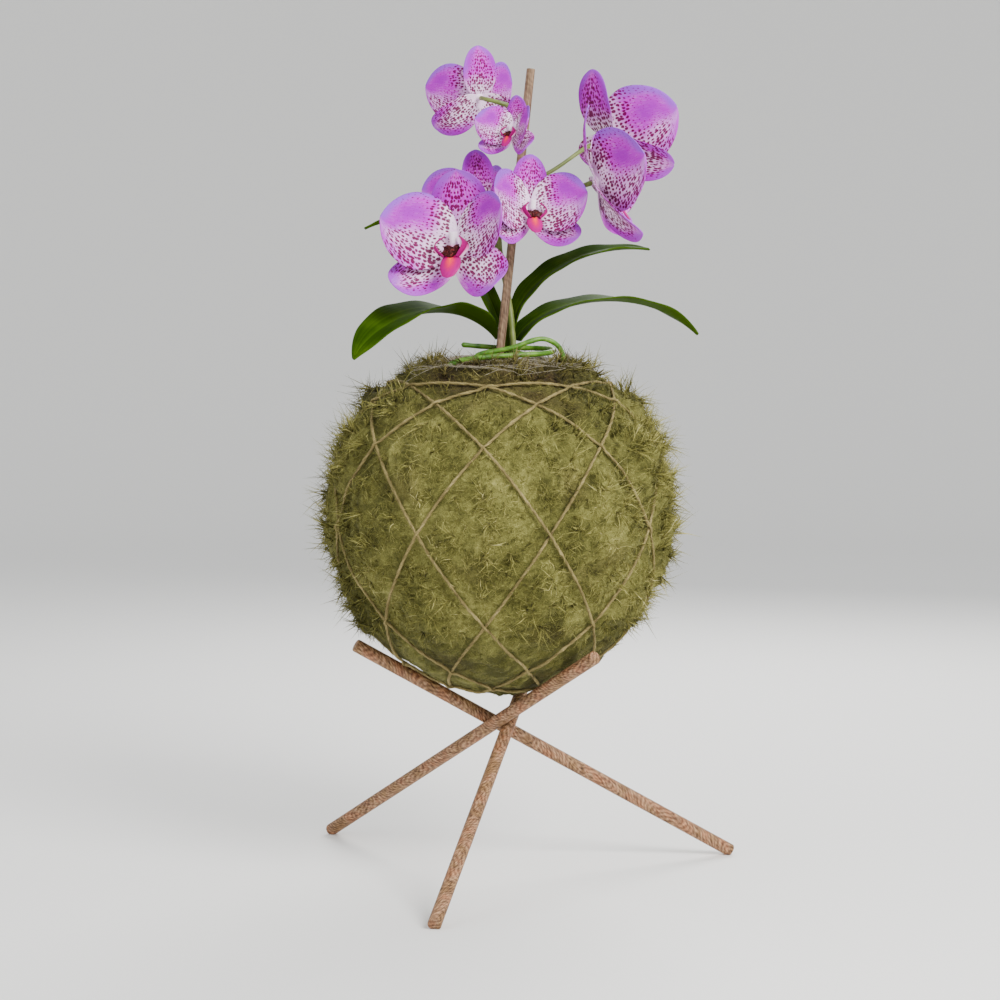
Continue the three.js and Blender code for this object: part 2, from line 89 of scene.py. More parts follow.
def linear(hex_colour):
    """Linear RGBA from an sRGB hex colour: c / 12.92 for dark values, ((c + 0.055) / 1.055) ** 2.4."""
    srgb = np.array([int(hex_colour[k:k + 2], 16) for k in (1, 3, 5)]) / 255
    rgb = np.where(srgb <= 0.04045, srgb / 12.92, ((srgb + 0.055) / 1.055) ** 2.4)
    return (*rgb.tolist(), 1.0)


def add(tree, kind, inputs=None, stops=None, **settings):
    """Adds a shader node. inputs gives each socket a value, a hex colour, or a node or output to link;
    stops gives a colour ramp its positions and hex colours."""
    made = tree.nodes.new("ShaderNode" + kind)
    for name, value in settings.items():
        setattr(made, name, value)
    for name, value in (inputs or {}).items():
        if isinstance(value, bpy.types.Node):
            tree.links.new(value.outputs[0], made.inputs[name])
        elif isinstance(value, bpy.types.NodeSocket):
            tree.links.new(value, made.inputs[name])
        else:
            made.inputs[name].default_value = linear(value) if isinstance(value, str) else value
    if stops:
        elements = made.color_ramp.elements
        for position, _ in stops[1:-1]:
            elements.new(position)
        for stop, (position, colour) in zip(elements, stops):
            stop.position, stop.color = position, linear(colour)
    return made


def new_material(name, roughness, **constants):
    """A material and its tree; constants are set on the shader's own sockets."""
    material = bpy.data.materials.new(name)
    material.use_nodes = True
    shader = material.node_tree.nodes["Principled BSDF"]
    shader.inputs["Roughness"].default_value = roughness
    for socket, value in constants.items():
        shader.inputs[socket.replace("_", " ")].default_value = value
    return material, material.node_tree


def dressed(material, colour, relief=None):
    """The material with its colour and, if it has one, its relief linked to the shader."""
    tree = material.node_tree
    shader = tree.nodes["Principled BSDF"]
    tree.links.new(colour.outputs[0], shader.inputs["Base Color"])
    if relief:
        tree.links.new(relief.outputs[0], shader.inputs["Normal"])
    return material


def turned_hardwood():
    """Bare hardwood with spiral grain: streaks 0.5 mm wide and 4 mm long that wind round the rod, in
    warm and grey browns that change every 15 mm, crossed by ripples 3.5 mm apart. The own attribute
    holds each rod's own coordinates in millimetres, untwisted along the grain."""
    material, tree = new_material("turned_hardwood", 0.6, Specular_IOR_Level=0.35)
    own = add(tree, "Attribute", attribute_name="own").outputs["Vector"]
    along = add(tree, "Mapping", {"Vector": own, "Scale": (1.9, 1.9, 0.26)})
    grain = add(tree, "TexNoise", {"Vector": along, "Scale": 1.0, "Detail": 5.0, "Roughness": 0.7})
    ripple = add(tree, "TexWave", {"Vector": own, "Scale": 0.18, "Distortion": 4.0, "Detail": 2.0,
                                   "Detail Scale": 1.2}, bands_direction="DIAGONAL")
    figure = add(tree, "MixRGB", {"Fac": 0.09, 1: grain, 2: ripple.outputs["Fac"]})
    colour = add(tree, "ValToRGB", {"Fac": figure},
                 stops=((0.35, "#3a2618"), (0.45, "#6c4b33"), (0.53, "#967153"), (0.63, "#c59e78")))
    patch = add(tree, "TexNoise", {"Vector": own, "Scale": 0.13, "Detail": 2.0})
    cast = add(tree, "ValToRGB", {"Fac": patch},
               stops=((0.38, "#ffe4d4"), (0.5, "#ffffff"), (0.62, "#dcd8bc")))
    shade = add(tree, "MixRGB", {"Fac": 0.8, 1: colour, 2: cast}, blend_type="MULTIPLY")
    relief = add(tree, "Bump", {"Height": grain, "Strength": 0.6, "Distance": 0.0004})
    return dressed(material, shade, relief)


def ring_quads(count, around, endless=False):
    """Quads between neighbouring rings of points, and from the last ring to the first if endless."""
    index = np.arange(count * around).reshape(count, around)
    if endless:
        index = np.concatenate([index, index[:1]])
    following = np.roll(index, -1, 1)
    return np.stack([index[:-1], following[:-1], following[1:], index[1:]], -1).reshape(-1, 4)


def closed_skin(rings, material=0, **attributes):
    """A closed skin over rings[i, k]: quads between neighbouring rings, and a fan to the middle of the
    first and of the last. It is turned inside out if its quads enclose a negative volume."""
    count, around = rings.shape[:2]
    quads = ring_quads(count, around)
    corner = np.arange(around)
    following = np.roll(corner, -1)
    first = np.stack([np.full(around, count * around), following, corner], -1)
    last = np.stack([np.full(around, 1), corner - around, following - around], -1) + count * around
    skin = {"quads": quads, "triangles": np.concatenate([first, last]), "material": material}
    for name, values in {"points": rings, **attributes}.items():
        values = np.broadcast_to(values, (count, around, np.shape(values)[-1]))
        flat = values.reshape(count * around, -1)
        skin[name] = np.concatenate([flat, values[0].mean(0)[None], values[-1].mean(0)[None]])
    corners = [(skin["points"] - rings.mean((0, 1)))[quads[:, k]] for k in range(4)]
    if (corners[0] * np.cross(corners[2] - corners[0], corners[3] - corners[1])).sum() < 0:
        skin["quads"], skin["triangles"] = skin["quads"][:, ::-1], skin["triangles"][:, ::-1]
    return skin


def piece(name, skins, materials, nodes=()):
    """One object from closed skins. Their own, tones and uv arrays become attributes and a UV map; the
    piece rides on the root body, and stands for the CAD nodes named."""
    sizes = np.cumsum([0] + [len(skin["points"]) for skin in skins])
    quads = np.concatenate([skin["quads"] + start for skin, start in zip(skins, sizes)])
    triangles = np.concatenate([skin["triangles"] + start for skin, start in zip(skins, sizes)])
    corners = np.concatenate([quads.ravel(), triangles.ravel()]).astype(np.int32)
    totals = np.repeat([4, 3], [len(quads), len(triangles)]).astype(np.int32)
    mesh = bpy.data.meshes.new(name)
    mesh.vertices.add(sizes[-1])
    points = in_frame(np.concatenate([skin["points"] for skin in skins]))
    mesh.vertices.foreach_set("co", points.astype(np.float32).ravel())
    mesh.loops.add(len(corners))
    mesh.loops.foreach_set("vertex_index", corners)
    mesh.polygons.add(len(totals))
    mesh.polygons.foreach_set("loop_start", (np.cumsum(totals) - totals).astype(np.int32))
    mesh.polygons.foreach_set("loop_total", totals)
    which = [np.concatenate([np.full(len(skin[part]), skin["material"]) for skin in skins])
             for part in ("quads", "triangles")]
    mesh.polygons.foreach_set("material_index", np.concatenate(which).astype(np.int32))
    mesh.polygons.foreach_set("use_smooth", np.ones(len(totals), bool))
    for attribute, kind, field in (("own", "FLOAT_VECTOR", "vector"), ("tones", "FLOAT_COLOR", "color")):
        if attribute in skins[0]:
            values = np.concatenate([skin[attribute] for skin in skins]).astype(np.float32)
            mesh.attributes.new(attribute, kind, "POINT").data.foreach_set(field, values.ravel())
    if "uv" in skins[0]:
        values = np.concatenate([skin["uv"] for skin in skins]).astype(np.float32)
        mesh.uv_layers.new(name="UVMap").data.foreach_set("uv", values[corners].ravel())
    mesh.update()
    mesh.validate()
    for material in materials:
        mesh.materials.append(material)
    made = bpy.data.objects.new(name, mesh)
    bpy.context.collection.objects.link(made)
    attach(made, "root")
    if nodes:
        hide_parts(*nodes)


def angles(count):
    """Angles of count even steps round a circle."""
    return 2 * np.pi * np.arange(count) / count


def eased(count):
    """Steps from 0 to 1 that crowd towards both ends: 0.5 - 0.5 cos(pi t)."""
    return 0.5 - 0.5 * np.cos(np.pi * np.linspace(0, 1, count))


def lathe(radius, height, sides):
    """Rings of a body of revolution about +Z, one for each radius and height."""
    turn = angles(sides)
    r, z = radius[:, None], height[:, None]
    return np.stack([r * np.cos(turn), r * np.sin(turn), z + 0 * turn], -1)


def rod_rings(length, radius, edge, sides, count):
    """Rings of a round bar along +Z whose ends are rounded: the radius is radius - edge + edge * sqrt(1 -
    (1 - d / edge) ** 2) at a distance d from the nearer end."""
    z = length * eased(count)
    near = np.clip(np.minimum(z, length - z) / edge, 0, 1)
    return lathe(radius - edge + edge * np.sqrt(1 - (1 - near) ** 2), z, sides)


def turn_about(points, axis, angle):
    """Points turned by angle about the X, Y or Z axis through the origin."""
    c, s = np.cos(angle), np.sin(angle)
    a, b = (axis + 1) % 3, (axis + 2) % 3
    turned = points.copy()
    turned[..., a] = c * points[..., a] - s * points[..., b]
    turned[..., b] = s * points[..., a] + c * points[..., b]
    return turned


hardwood = turned_hardwood()
dowel_length = (FOOT_RADIUS + ARM_RADIUS) / np.cos(DOWEL_SLOPE)
for k, node in enumerate(DOWEL_NODES):
    bar = rod_rings(dowel_length, DOWEL_RADIUS, DOWEL_EDGE, sides=36, count=80)
    rod = turn_about(bar, 1, DOWEL_SLOPE - np.pi / 2)
    rod = turn_about(rod + [FOOT_RADIUS, DOWEL_OFFSET, FOOT_HEIGHT], 2, FIRST_FOOT + 2 * np.pi / 3 * k)
    rod[..., 2] = np.maximum(rod[..., 2], 0)
    own = turn_about(bar, 2, GRAIN_TURN * k - GRAIN_TWIST * bar[..., 2]) + [0, 0, GRAIN_SHIFT * k]
    piece("turned_" + node, [closed_skin(rod, own=own)], [hardwood], (node,))


# Moss ball
# Sheets of dry sheet moss wrapped round the potting mix, thicker between the twines and drawn in
# under them. The sheets are a felt of fine stems: an uneven body with tufts of fibres rooted in it.

# SHOULDER and BELLY are the powers of the ball's outline above and below its middle. Stems are rooted
# STEM_ROOT below the moss's skin.
BALL_Z = 214.9
BALL_RADIUS = 98.6
BALL_UP = 98.6
BALL_DOWN = 102.9
SHOULDER = 2.5
BELLY = 2.0
MOSS_THICKNESS = 12.0
MOUTH_RADIUS = 37.0
STEM_ROOT = 0.8
STEM_LIMIT = 16.0
TWINE_RADIUS = 1.0
TWINE_GAP = 0.5
LOOPS = 8
LEAN = np.radians(52)
LOOP_TURN = np.radians(17 - 90)
LOOP_RISE = 118.0
LOOP_SAG = 11.0


def ball_reach(angle, grow=0.0):
    """Distance from the ball's centre to its skin at an angle above its equator, a superellipse:
    (|cos / radius| ** p + |sin / reach| ** p) ** (-1 / p), fuller above the equator than below."""
    power = np.where(angle > 0, SHOULDER, BELLY)
    reach = np.where(angle > 0, BALL_UP, BALL_DOWN) + grow
    wide = (np.abs(np.cos(angle)) / (BALL_RADIUS + grow)) ** power
    high = (np.abs(np.sin(angle)) / reach) ** power
    return (wide + high) ** (-1 / power)


def ball_points(angle, turn, grow=0.0):
    """Points on the ball's skin at angles above the equator and turns about its axis."""
    reach = ball_reach(angle, grow)
    flat = reach * np.cos(angle)
    height = BALL_Z + reach * np.sin(angle)
    return np.stack(np.broadcast_arrays(flat * np.cos(turn), flat * np.sin(turn), height), -1)


def twine_line(loop, count):
    """Points of one loop's centre line. It is a great circle that leans by LEAN, whose height is
    LOOP_RISE h - LOOP_SAG h ** 2, with h the sine of the tilt; it lies on the moss."""
    t = angles(count)
    high = np.sin(t) * np.sin(LEAN)
    turn = LOOP_TURN + 2 * np.pi / LOOPS * loop + np.arctan2(np.sin(t) * np.cos(LEAN), np.cos(t))
    height = LOOP_RISE * high - LOOP_SAG * high ** 2
    grow = TWINE_RADIUS + TWINE_GAP
    angle = np.arcsin(height / (LOOP_RISE + LOOP_SAG))
    for _ in range(12):
        reach = ball_reach(angle, grow)
        angle -= (reach * np.sin(angle) - height) / reach / np.maximum(np.cos(angle), 0.25)
    return ball_points(angle, turn, grow)


def unit(vectors):
    """Vectors divided by their lengths."""
    return vectors / np.linalg.norm(vectors, axis=-1)[..., None]


def outward(points):
    """Unit vectors from the ball's centre towards the points."""
    return unit(points - [0, 0, BALL_Z])


def nearest(points, targets):
    """Distance from each point to the nearest target, found in blocks of points."""
    blocks = [np.sqrt(((block[:, None] - targets) ** 2).sum(-1).min(1))
              for block in np.array_split(points, max(len(points) // 400, 1))]
    return np.concatenate(blocks)


def waves(points, wavelength, seed, count=22):
    """A smooth random field with mean 0 and spread about 1: the sum of cosines that run in random
    directions, with lengths spread round the wavelength, divided by sqrt(count / 2)."""
    draw = np.random.default_rng(seed)
    heading = unit(draw.normal(size=(count, 3)))
    heading *= (2 * np.pi / (wavelength * draw.uniform(0.7, 1.5, count)))[:, None]
    phase = draw.uniform(0, 2 * np.pi, count)
    return np.cos(points @ heading.T + phase).sum(-1) / np.sqrt(count / 2)


def smooth_step(value, low, high):
    """0 beyond low, 1 beyond high, and 3 x ** 2 - 2 x ** 3 between; low may be the larger."""
    x = np.clip((value - low) / (high - low), 0, 1)
    return x * x * (3 - 2 * x)


def hump(value, middle, spread):
    """A bell of height 1 about a middle: exp(-((value - middle) / spread) ** 2)."""
    return np.exp(-((value - middle) / spread) ** 2)


twine_marks = np.concatenate([twine_line(loop, 230) for loop in range(LOOPS)])


def pressed(points):
    """How far the ball's weight has pressed the moss flat: from nothing 45 mm below its middle to wholly
    at 85 mm."""
    return smooth_step(points[:, 2], BALL_Z - 45, BALL_Z - 85)


def shoulders(points):
    """How near a point is to the ball's two shoulders, left and right above its middle; on the left the
    moss is combed flat towards the front."""
    x, y, up = (points - [0, 0, BALL_Z]).T
    near = smooth_step(up, -10, 45) * smooth_step(np.abs(x), 42, 72)
    return near * np.where(x < 0, smooth_step(y, -60, -15), 1)


def moss_height(points):
    """How far the moss stands above the ball's plain skin: pillows of 2.6 mm between the twines, a dip
    of 0.6 mm under them, lumps 30, 11 and 4 mm apart, shaggier sides to the right and left, most of all
    from the middle up and at the shoulders, and less of it all below."""
    clear = nearest(points, twine_marks)
    pillow = 3.2 * (1 - hump(clear, 0, 11)) - 0.6
    lumps = 0.9 * waves(points, 30, 3) + 0.8 * waves(points, 11, 4) + 0.45 * waves(points, 4.2, 5)
    x, y, up = (points - [0, 0, BALL_Z]).T
    more = 2.0 * smooth_step(up, 0, 32)
    side = (3.2 + 1.2 * more) * smooth_step(x, 45, 95)
    side += (2.6 + more) * smooth_step(x, -50, -95) * smooth_step(y, -50, 0)
    side += 3.2 * hump(np.abs(x), 64, 20) * smooth_step(up, 50, 78)
    shaggy = side * (1 - hump(clear, 0, 8))
    full = pillow + shaggy + lumps * (1 - 0.75 * hump(clear, 0, 3.5))
    return full * (1 - 0.3 * pressed(points))


def dry_sheet_moss(name, fibres):
    """Dry sheet moss, matt and fibrous. tones holds the stem's tint, how brown it is, and how far along
    the fibre the point lies, so that fibres are dark at the root and pale at the tip."""
    material, tree = new_material(name, 0.9, Specular_IOR_Level=0.25)
    parts = add(tree, "SeparateColor", {"Color": add(tree, "Attribute", attribute_name="tones")})
    place = add(tree, "TexCoord").outputs["Object"]
    # Stems are 0.3 mm thick in truth and are drawn 0.7 mm apart, so that they show.
    felt = add(tree, "TexNoise", {"Vector": place, "Scale": 900.0, "Detail": 3.0, "Roughness": 0.65,
                                  "Distortion": 1.5})
    tint = add(tree, "Math", {0: parts.outputs[0], 1: felt}, operation="ADD")
    tint = add(tree, "Math", {0: tint, 1: -0.5}, operation="ADD")
    green = add(tree, "ValToRGB", {"Fac": tint},
                stops=((0.0, "#454418"), (0.28, "#6f6d35"), (0.52, "#96934f"), (0.76, "#bcb672"),
                       (1.0, "#ded79c")))
    brown = add(tree, "ValToRGB", {"Fac": tint},
                stops=((0.0, "#241a0c"), (0.35, "#4a3a1e"), (0.7, "#74623a"), (1.0, "#a8986c")))
    colour = add(tree, "MixRGB", {"Fac": parts.outputs[1], 1: green, 2: brown})
    root = add(tree, "ValToRGB", {"Fac": parts.outputs[2]},
               stops=((0.0, "#8a8468" if fibres else "#ffffff"), (0.5, "#efece0"), (1.0, "#ffffff")))
    shade = add(tree, "MixRGB", {"Fac": 1.0, 1: colour, 2: root}, blend_type="MULTIPLY")
    if fibres:
        return dressed(material, shade)
    relief = add(tree, "Bump", {"Height": felt, "Strength": 1.0, "Distance": 0.0012})
    return dressed(material, shade, relief)


def brownness(points):
    """How brown the moss is: most where the soil has stained it from the mouth down to 70 mm above the
    ball's middle, and in patches 36 mm apart elsewhere."""
    x, _, up = (points - [0, 0, BALL_Z]).T
    stain = smooth_step(up + 4 * waves(points, 22, 10), 66, 92) * (0.3 + 0.7 * smooth_step(np.abs(x), 60, 30))
    patches = 0.35 * smooth_step(waves(points, 36, 8), 0.6, 2.2)
    return np.clip(0.8 * stain + patches, 0, 1)


def moss_tint(points):
    """How pale the moss is, from 0 to 1: drifts 45 and 14 mm wide round the middle value, painted shade in
    dips 8 mm apart between the tufts, mostly to the right, painted shade towards the top, where the leaves
    shade the moss, and towards the bottom, and darker moss towards the left."""
    x, _, up = (points - [0, 0, BALL_Z]).T
    # Painted shade in the dips between the tufts, mostly to the right.
    dip_shade = smooth_step(waves(points, 8, 9), 0.5, 1.7) * smooth_step(x, -40, 50)
    # Painted shade towards the top, where the leaves shade the moss, and towards the bottom; the moss is also
    # darker towards the left.
    shade = 0.12 * smooth_step(up, 45, 88) + 0.1 * smooth_step(x, -30, -90) + 0.18 * smooth_step(up, -30, -90)
    return 0.45 + 0.05 * waves(points, 45, 6) + 0.05 * waves(points, 14, 7) - 0.2 * dip_shade - shade


def moss_jacket():
    """The body of the moss: its outer skin from the bottom pole to the mouth, raised by moss_height,
    and a plain inner wall back to the bottom pole."""
    top = np.arccos(np.clip(MOUTH_RADIUS / BALL_RADIUS, -1, 1))
    for _ in range(30):
        top += (ball_reach(top) * np.cos(top) - MOUTH_RADIUS) / BALL_RADIUS
    outer = np.linspace(-np.pi / 2 + 0.01, top, 135)
    inner = np.linspace(top + 0.02, -np.pi / 2 + 0.06, 9)
    turn = angles(216)
    skin = ball_points(outer[:, None], turn[None])
    flat = skin.reshape(-1, 3)
    rim = smooth_step(np.repeat(outer, len(turn)), top, top - 0.12)
    raised = flat + outward(flat) * (moss_height(flat) * rim)[:, None]
    wall = ball_points(inner[:, None], turn[None], -MOSS_THICKNESS)
    points = np.concatenate([raised.reshape(skin.shape), wall])
    flat = points.reshape(-1, 3)
    hollow = 0.06 * waves(flat, 4.2, 5)
    full = np.ones(len(flat))
    tones = np.stack([moss_tint(flat) + hollow - 0.16, brownness(flat), full, full], -1)
    return closed_skin(points, tones=tones.reshape(*points.shape[:2], 4))


moss_felt = dry_sheet_moss("dry_moss_felt", False)
moss_stems = dry_sheet_moss("dry_moss_stems", True)
piece("moss_body", [moss_jacket()], [moss_felt], ("moss_jacket",))


def fibres(roots, headings, lengths, widths, bends, tones):
    """Tapered three-sided stems. The middle of each lies at root + (0.55 heading + 0.2 bend) * length and
    its tip at root + (heading + bend) * length, with three corners at root and middle and a point at
    the tip."""
    across = unit(np.cross(headings, bends + [0.3, 0.5, 0.7]))
    over = unit(np.cross(headings, across))
    turn = angles(3)
    corner = across[:, None] * np.cos(turn)[:, None] + over[:, None] * np.sin(turn)[:, None]
    middle = roots + (headings * 0.55 + bends * 0.2) * lengths[:, None]
    tip = roots + (headings + bends) * lengths[:, None]
    wide = (widths / 2)[:, None, None]
    points = np.concatenate([roots[:, None] + corner * wide, middle[:, None] + corner * wide * 0.8,
                             tip[:, None]], 1)
    low, high = np.arange(3), np.arange(3, 6)
    sides = np.stack([low, np.roll(low, -1), np.roll(high, -1), high], -1)
    ends = np.stack([high, np.roll(high, -1), np.full(3, 6)], -1)
    starts = (7 * np.arange(len(roots)))[:, None, None]
    triangles = np.concatenate([ends, [[2, 1, 0]]])
    along = np.array([0, 0, 0, 0.55, 0.55, 0.55, 1.0])
    shades = np.stack([np.repeat(tones[:, 0], 7), np.repeat(tones[:, 1], 7),
                       np.tile(along, len(roots)), np.ones(7 * len(roots))], -1)
    return {"points": points.reshape(-1, 3), "quads": (sides + starts).reshape(-1, 4),
            "triangles": (triangles + starts).reshape(-1, 3), "material": 0, "tones": shades}


def tufts(count, seed, low, high, lift, length, stray=0.9, sparse=-9.0, pale=0.0, bunch=1, stout=1.0):
    """Fibres rooted evenly over the ball between two heights, low and high being sines. Each leans from
    a tangent that drifts with its neighbours, strays from it by stray, lifts by about lift degrees and
    curls a little; none starts on a twine. They are longest at the shoulders, grow by the bunch, and
    only where a field 9 mm wide is above sparse, which thins the front."""
    draw = np.random.default_rng(seed)
    angle = np.repeat(np.arcsin(draw.uniform(low, high, count)), bunch)
    turn = np.repeat(draw.uniform(0, 2 * np.pi, count), bunch)
    plain = ball_points(angle, turn)
    clear = nearest(plain, twine_marks)
    kept = (clear > 1.6) & (np.hypot(plain[:, 0], plain[:, 1]) > np.where(angle > 0, MOUTH_RADIUS, 0))
    kept &= waves(plain, 9, seed + 40) > sparse + 0.8 * smooth_step(plain[:, 1], -40, -85)
    plain, clear = plain[kept], clear[kept]
    away = outward(plain)
    drift = np.stack([waves(plain, 16, seed + k) for k in (31, 32, 33)], -1)
    drift += stray * draw.normal(size=plain.shape)
    drift = unit(drift - away * (drift * away).sum(1)[:, None])
    rise = np.radians(lift) * draw.uniform(0.6, 1.4, len(plain))
    rise *= (0.35 + 0.65 * smooth_step(clear, 1.5, 8)) * (1 - 0.6 * pressed(plain))
    heading = drift * np.cos(rise)[:, None] + away * np.sin(rise)[:, None]
    size = length * draw.uniform(0.6, 1.35, len(plain)) * (0.6 + 0.4 * smooth_step(clear, 1.5, 9))
    size *= (1 - 0.5 * pressed(plain)) * (1 + 0.8 * shoulders(plain) * smooth_step(clear, 3, 12))
    size = np.minimum(size, STEM_LIMIT)
    curl = 0.32 * np.clip(draw.normal(size=plain.shape), -1.3, 1.3) - 0.12 * away
    width = stout * draw.uniform(0.24, 0.44, len(plain))
    tint = moss_tint(plain) + 0.14 * draw.normal(size=len(plain)) + pale
    tones = np.stack([np.clip(tint, 0, 1), brownness(plain) * (0.7 - pale)], -1)
    roots = plain + away * (moss_height(plain) - STEM_ROOT)[:, None]
    return fibres(roots, heading, size, width, curl, tones)


# How many stems of each kind on each half of the ball, the first seed, the lift and the length.
STEMS = {"lying": (17000, 101, 15, 7.0), "standing": (10500, 103, 45, 8.0)}
for kind, (count, seed, lift, length) in STEMS.items():
    for half, (name, low, high) in enumerate((("low", -1.0, 0.0), ("high", 0.0, 1.0))):
        skin = tufts(count, seed + half, low, high, lift, length)
        piece(f"moss_{kind}_stems_{name}", [skin], [moss_stems])
wisps = tufts(7500, 105, -0.6, 0.96, 50, 12.0, stray=0.5, sparse=0.5, pale=0.04, bunch=4, stout=1.7)
piece("moss_long_wisps", [wisps], [moss_stems])


# Twine net
# Two-ply jute twine 2 mm thick, wound round the ball in eight slanting loops. Each loop was laid over
# the ones before it, so it lifts where it crosses them and presses into the moss between.

TWINE_LAY = 12.0
TWINE_STEPS = 460
PLY_RADIUS = 0.78
PLY_OFFSET = 0.24
CROSSING_LIFT = 1.5


def jute_twine():
    """Twisted jute: two plies of dull tan bast fibre, with painted shade between the plies. The own
    attribute holds the cosine and sine of the angle round the rope and the millimetres along it."""
    material, tree = new_material("jute_twine", 0.88, Specular_IOR_Level=0.3)
    own = add(tree, "Attribute", attribute_name="own").outputs["Vector"]
    along = add(tree, "Mapping", {"Vector": own, "Scale": (2.2, 2.2, 0.5)})
    fibre = add(tree, "TexNoise", {"Vector": along, "Scale": 1.5, "Detail": 4.0, "Roughness": 0.7})
    drift = add(tree, "TexNoise", {"Vector": own, "Scale": 0.06, "Detail": 2.0})
    spread = add(tree, "MixRGB", {"Fac": 0.4, 1: fibre, 2: drift})
    colour = add(tree, "ValToRGB", {"Fac": spread},
                 stops=((0.3, "#3f341c"), (0.44, "#6b5e36"), (0.56, "#8d7f50"), (0.7, "#c6b883")))
    tones = add(tree, "Attribute", attribute_name="tones")
    # Painted shade: tones holds the rope's reach from its centre line, and the twine is darkened where the
    # reach is least, between the plies.
    groove = add(tree, "ValToRGB", {"Fac": tones.outputs["Fac"]},
                 stops=((0.5, "#6f6148"), (0.9, "#ffffff")))
    shade = add(tree, "MixRGB", {"Fac": 1.0, 1: colour, 2: groove}, blend_type="MULTIPLY")
    relief = add(tree, "Bump", {"Height": fibre, "Strength": 0.5, "Distance": 0.0003})
    return dressed(material, shade, relief)


def twine_loop(loop):
    """One loop as a closed rope of two soft plies. Its outline at an angle a from the plies is PLY_OFFSET
    |cos a| + sqrt(PLY_RADIUS ** 2 - (PLY_OFFSET sin a) ** 2), and it makes a turn in every TWINE_LAY.
    Near an earlier loop the line lifts by CROSSING_LIFT exp(-(d / 2.6) ** 2)."""
    line = twine_line(loop, TWINE_STEPS)
    away = outward(line)
    if loop:
        earlier = np.concatenate([twine_line(k, TWINE_STEPS) for k in range(loop)])
        line = line + away * (CROSSING_LIFT * hump(nearest(line, earlier), 0, 2.6))[:, None]
    line = line + away * (0.35 * waves(line, 30, 60 + loop))[:, None]
    ahead = np.roll(line, -1, 0) - np.roll(line, 1, 0)
    run = np.cumsum(np.linalg.norm(ahead, axis=1) / 2)
    ahead = unit(ahead)
    side = unit(np.cross(ahead, away))
    out = np.cross(side, ahead)
    turns = np.round(run[-1] / TWINE_LAY)
    around = angles(9)
    twist = (around + 2 * np.pi * turns * (run / run[-1])[:, None])[..., None]
    reach = np.sqrt(PLY_RADIUS ** 2 - (PLY_OFFSET * np.sin(around)) ** 2)
    reach = (reach + PLY_OFFSET * np.abs(np.cos(around))) * (1 + 0.08 * waves(line, 9, 80 + loop))[:, None]
    rings = line[:, None] + reach[..., None] * (np.cos(twist) * out[:, None] + np.sin(twist) * side[:, None])
    quads = ring_quads(TWINE_STEPS, len(around), endless=True)[:, [0, 3, 2, 1]]
    own = np.stack(np.broadcast_arrays(np.cos(around), np.sin(around), run[:, None] + 700 * loop), -1)
    # tones carries the reach, which the twine's material turns into painted shade between the plies.
    return {"points": rings.reshape(-1, 3), "quads": quads, "triangles": np.empty((0, 3), int),
            "material": 0, "own": own.reshape(-1, 3), "tones": np.repeat(reach.reshape(-1, 1), 4, 1)}


piece("twine_net_rope", [twine_loop(loop) for loop in range(LOOPS)], [jute_twine()], ("twine_net",))


# Potting mix
# Damp bark and peat fill the mouth of the moss, level with its rim, with crumbs of bark at the top
# and dry grey rootlets lying across it.

MOUND_RADIUS = 36.2


def damp_potting_mix():
    """Damp peat and bark crumbs 3 mm across, dark brown and matt, with pale fibres among them."""
    material, tree = new_material("damp_potting_mix", 0.85)
    place = add(tree, "TexCoord").outputs["Object"]
    crumbs = add(tree, "TexVoronoi", {"Vector": place, "Scale": 330.0})
    dust = add(tree, "TexNoise", {"Vector": place, "Scale": 700.0, "Detail": 4.0})
    spread = add(tree, "MixRGB", {"Fac": 0.5, 1: crumbs.outputs["Color"], 2: dust})
    colour = add(tree, "ValToRGB", {"Fac": spread},
                 stops=((0.2, "#1f150c"), (0.5, "#46331f"), (0.7, "#6b5434"), (0.9, "#97835a")))
    relief = add(tree, "Bump", {"Height": crumbs.outputs["Distance"], "Strength": 0.8, "Distance": 0.001},
                 invert=True)
    return dressed(material, colour, relief)


def soil_mound():
    """A lens over the mouth. At a share q of MOUND_RADIUS its top lies 1.2 + 3.6 q ** 6 mm below the
    ball's top, plus lumps 9 and 4 mm apart, and its flat underside lies 13 mm below it."""
    above, below = np.linspace(0.02, 1, 46), np.linspace(0.98, 0.05, 4)
    share = np.concatenate([above, below])
    points = lathe(MOUND_RADIUS * share, 0 * share, 150)
    lumps = 0.8 * waves(points, 9, 21) + 0.5 * waves(points, 4, 22)
    share = share[:, None]
    top = BALL_Z + BALL_UP - 1.2 - 3.6 * share ** 6 + lumps * (1 - share ** 8)
    points[..., 2] = top
    points[len(above):, :, 2] = BALL_Z + BALL_UP - 13
    return closed_skin(points[::-1])


potting_mix = damp_potting_mix()
piece("soil_mound", [soil_mound()], [potting_mix])
soil_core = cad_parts["soil_core"]
soil_core.data.materials.clear()
soil_core.data.materials.append(potting_mix)


# Support stick
# A plain pale brown stick 5 mm thick, pushed down into the ball beside the spike: split bamboo, with
# straight fibres along it and a cut top.

STICK_FOOT = np.array([-4.7, -6.5, 270.0])
STICK_TOP = np.array([19.2, -6.5, 487.5])
STICK_RADIUS = 2.6
STICK_EDGE = 0.6


